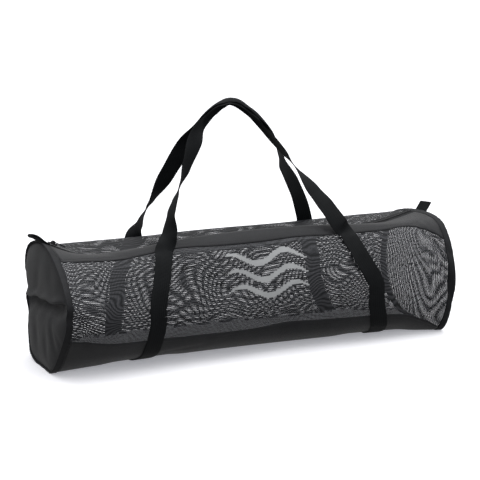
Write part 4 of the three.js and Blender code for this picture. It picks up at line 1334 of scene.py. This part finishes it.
# %% A tree that repeats a small piece along a line
repeat_tree, repeat_inputs = new_tree("pieces_along_a_line", {
    "Line": "Geometry", "Pitch": "Float", "Piece size": "Vector", "Finish": "Material",
}, "Pieces")
given = add_node(repeat_tree, "NodeGroupInput")
curve = add_node(repeat_tree, "GeometryNodeMeshToCurve", {"Mesh": given.outputs["Line"]})
points = add_node(repeat_tree, "GeometryNodeCurveToPoints", {
    "Curve": curve.outputs[0], "Length": given.outputs["Pitch"],
}, mode="LENGTH")
bead = add_node(repeat_tree, "GeometryNodeMeshUVSphere", {"Segments": 6, "Rings": 4, "Radius": 0.5})
aligned = add_node(repeat_tree, "FunctionNodeAlignRotationToVector", {"Vector": points.outputs["Tangent"]},
                   axis="X", pivot_axis="Z")
placed = add_node(repeat_tree, "GeometryNodeInstanceOnPoints", {
    "Points": points.outputs["Points"], "Instance": bead.outputs["Mesh"], "Rotation": aligned.outputs[0],
    "Scale": given.outputs["Piece size"],
})
real = add_node(repeat_tree, "GeometryNodeRealizeInstances", {"Geometry": placed.outputs[0]})
smooth = add_node(repeat_tree, "GeometryNodeSetShadeSmooth", {"Geometry": real.outputs[0]})
coated = add_node(repeat_tree, "GeometryNodeSetMaterial", {
    "Geometry": smooth.outputs[0], "Material": given.outputs["Finish"],
})
add_node(repeat_tree, "NodeGroupOutput", {"Pieces": coated.outputs[0]})


def repeat_along(name, lines, pitch, size, material):
    """Small rounded pieces along one or more lines, with their pitch, length, width and height in mm."""
    mesh = bpy.data.meshes.new(name)
    points, edges = [], []
    for line in lines:
        first = len(points)
        points.extend((np.asarray(line) * MM).tolist())
        edges.extend((k, k + 1) for k in range(first, len(points) - 1))
    mesh.from_pydata(points, edges, [])
    return run_tree(new_object(name, mesh, material), repeat_tree, repeat_inputs, {
        "Pitch": pitch * MM, "Piece size": [v * MM for v in size], "Finish": material,
    })


print("nodes in the row's tree:", len(repeat_tree.nodes))

# %% [markdown]
# The coil's loops mesh from both sides, so two rows of narrow beads beside each other make it.

# %% Zipper coil
COIL_PITCH = 1.9
COIL_RISE = 1.2
COIL_LOOP = (1.25, 3.6, 1.9)
COIL_PLACES = 400
SIDE_STEP = 2.0


def skin_line(places, arc_at, out):
    """A line over the skin, at an arc that may change along the bag, pushed out by a distance in mm."""
    return skin_grid(places, lambda at: arc_at(at) + np.array([-SIDE_STEP, 0.0, SIDE_STEP]), out)[:, 1]


coil_places = tube_places(COIL_PLACES)
left_row = skin_line(coil_places, lambda at: -1.0, COIL_RISE)
right_row = skin_line(coil_places[2:], lambda at: 1.0, COIL_RISE)
coil = repeat_along("zipper_coil_loops", [left_row, right_row], COIL_PITCH, COIL_LOOP, monofilament)
finish_piece(coil, "coil", "zipper_coil")

# %% [markdown]
# ## Stitches
# Every seam shows its thread: along both hems of the nylon, beside the zipper and round the bound seams. A
# stitch is a small rounded piece, repeated along the seam's line by the same tree.

# %% Stitches
STITCH_PITCH = 3.6
STITCH_SIZE = (2.5, 0.55, 0.5)
HEM_ROWS = (2.5, 7.0)
HEM_STITCH_RISE = HEM_RISE + 0.15
TAPE_STITCH_INSET = 4
TAPE_STITCH_RISE = 0.4
BINDING_ROW = 0.8
BINDING_STITCH_RISE = 1.0
seam_places = tube_places(300)
seams = [skin_line(seam_places, lambda at: edge(at) + sense * inset, HEM_STITCH_RISE)
         for edge, sense in ((strip_end, -1), (bottom_front, 1), (bottom_back, -1)) for inset in HEM_ROWS]
seams += [skin_line(seam_places, lambda at: sense * (HALF_TAPE - TAPE_STITCH_INSET), TAPE_STITCH_RISE)
          for sense in (1, -1)]
stitches = repeat_along("thread_of_panel_seams", seams, STITCH_PITCH, STITCH_SIZE, thread)
finish_piece(stitches, "nylon")


def binding_line(sign):
    """A line of stitches round an end's bound seam."""
    at = sign * (0.5 - BINDING_ROW * BINDING_WIDTH / LENGTH)
    points = skin(at, np.linspace(0, outline(at)[2], BINDING_STEPS + 1))
    outward = (points - points.mean(0)) * (0, 1, 1)
    return points + outward / np.linalg.norm(outward, axis=1, keepdims=True) * BINDING_STITCH_RISE


rounds = [binding_line(-1), binding_line(1)]
finish_piece(repeat_along("thread_of_bound_seams", rounds, STITCH_PITCH, STITCH_SIZE, thread), "binding")

# %% [markdown]
# ## Tabs at the zipper's ends
# Both are short folded ends of webbing. The left one curls outwards over the end, the right one stands up,
# flat and turned. A tab is the same band as before, taken out along a path, round its fold, and back beside
# itself.

# %% Tabs
TAB_WIDTH = 22
TAB_STEPS = 8
TAB_GAP = 0.55
TAB_FOLD = (1.1, 0.55, 0, -0.55, -1.1)


def folded_tab(side, width_way, thick, path):
    """A tab along a path. width_way is the direction across it."""
    fine = spline(path, False, TAB_STEPS)
    width = unit(np.array(width_way, float))
    runs = np.gradient(fine, axis=0)
    normals = np.array([unit(np.cross(width, run)) for run in runs])
    gap = thick * TAB_GAP
    fold = [fine[-1] + unit(runs[-1]) * gap * math.cos(a) + normals[-1] * gap * math.sin(a) for a in TAB_FOLD]
    centres = np.vstack([fine + normals * gap, fold, (fine - normals * gap)[::-1]])
    normals = np.array([unit(np.cross(width, run)) for run in np.gradient(centres, axis=0)])
    flat = np.zeros(len(centres))
    widths = [width] * len(centres)
    piece = band_mesh(f"webbing_tab_{side}", centres, widths, normals, flat, flat, TAB_WIDTH, thick)
    finish_piece(piece, "webbing", f"end_tab_{side}")


folded_tab("left", (0, 1, -0.2), 3.0, [
    (-345.5, -12, 209.0), (-350.5, -12, 211.2), (-356.0, -12, 215.2), (-361.0, -12, 220.0),
    (-367.0, -12, 224.6), (-374.0, -12, 227.4),
])
folded_tab("right", (0.5, -0.86, 0.02), 1.5, [
    (361.5, 4.6, 195.0), (366.0, 5.5, 201.0), (370.6, 6.4, 207.0), (375.2, 7.2, 213.3),
])

# %% [markdown]
# ## Slider and pull
# These two stay as the frame has them: their shape is right, and the pull has to turn on its pin. They only
# get their painted finish.

# %% Slider and pull
for name in ("zip_slider", "zip_pull"):
    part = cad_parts[name]
    part.data.materials.clear()
    part.data.materials.append(painted_zinc)
    print("kept:", name)

# %% Sizes and the end
bpy.context.view_layer.update()
looks_box = [[float(v) for v in corner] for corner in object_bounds()]
growth = np.array(looks_box) - np.array(cad_box)
print("box moves by", (growth / MM).round(1).tolist(), "mm")
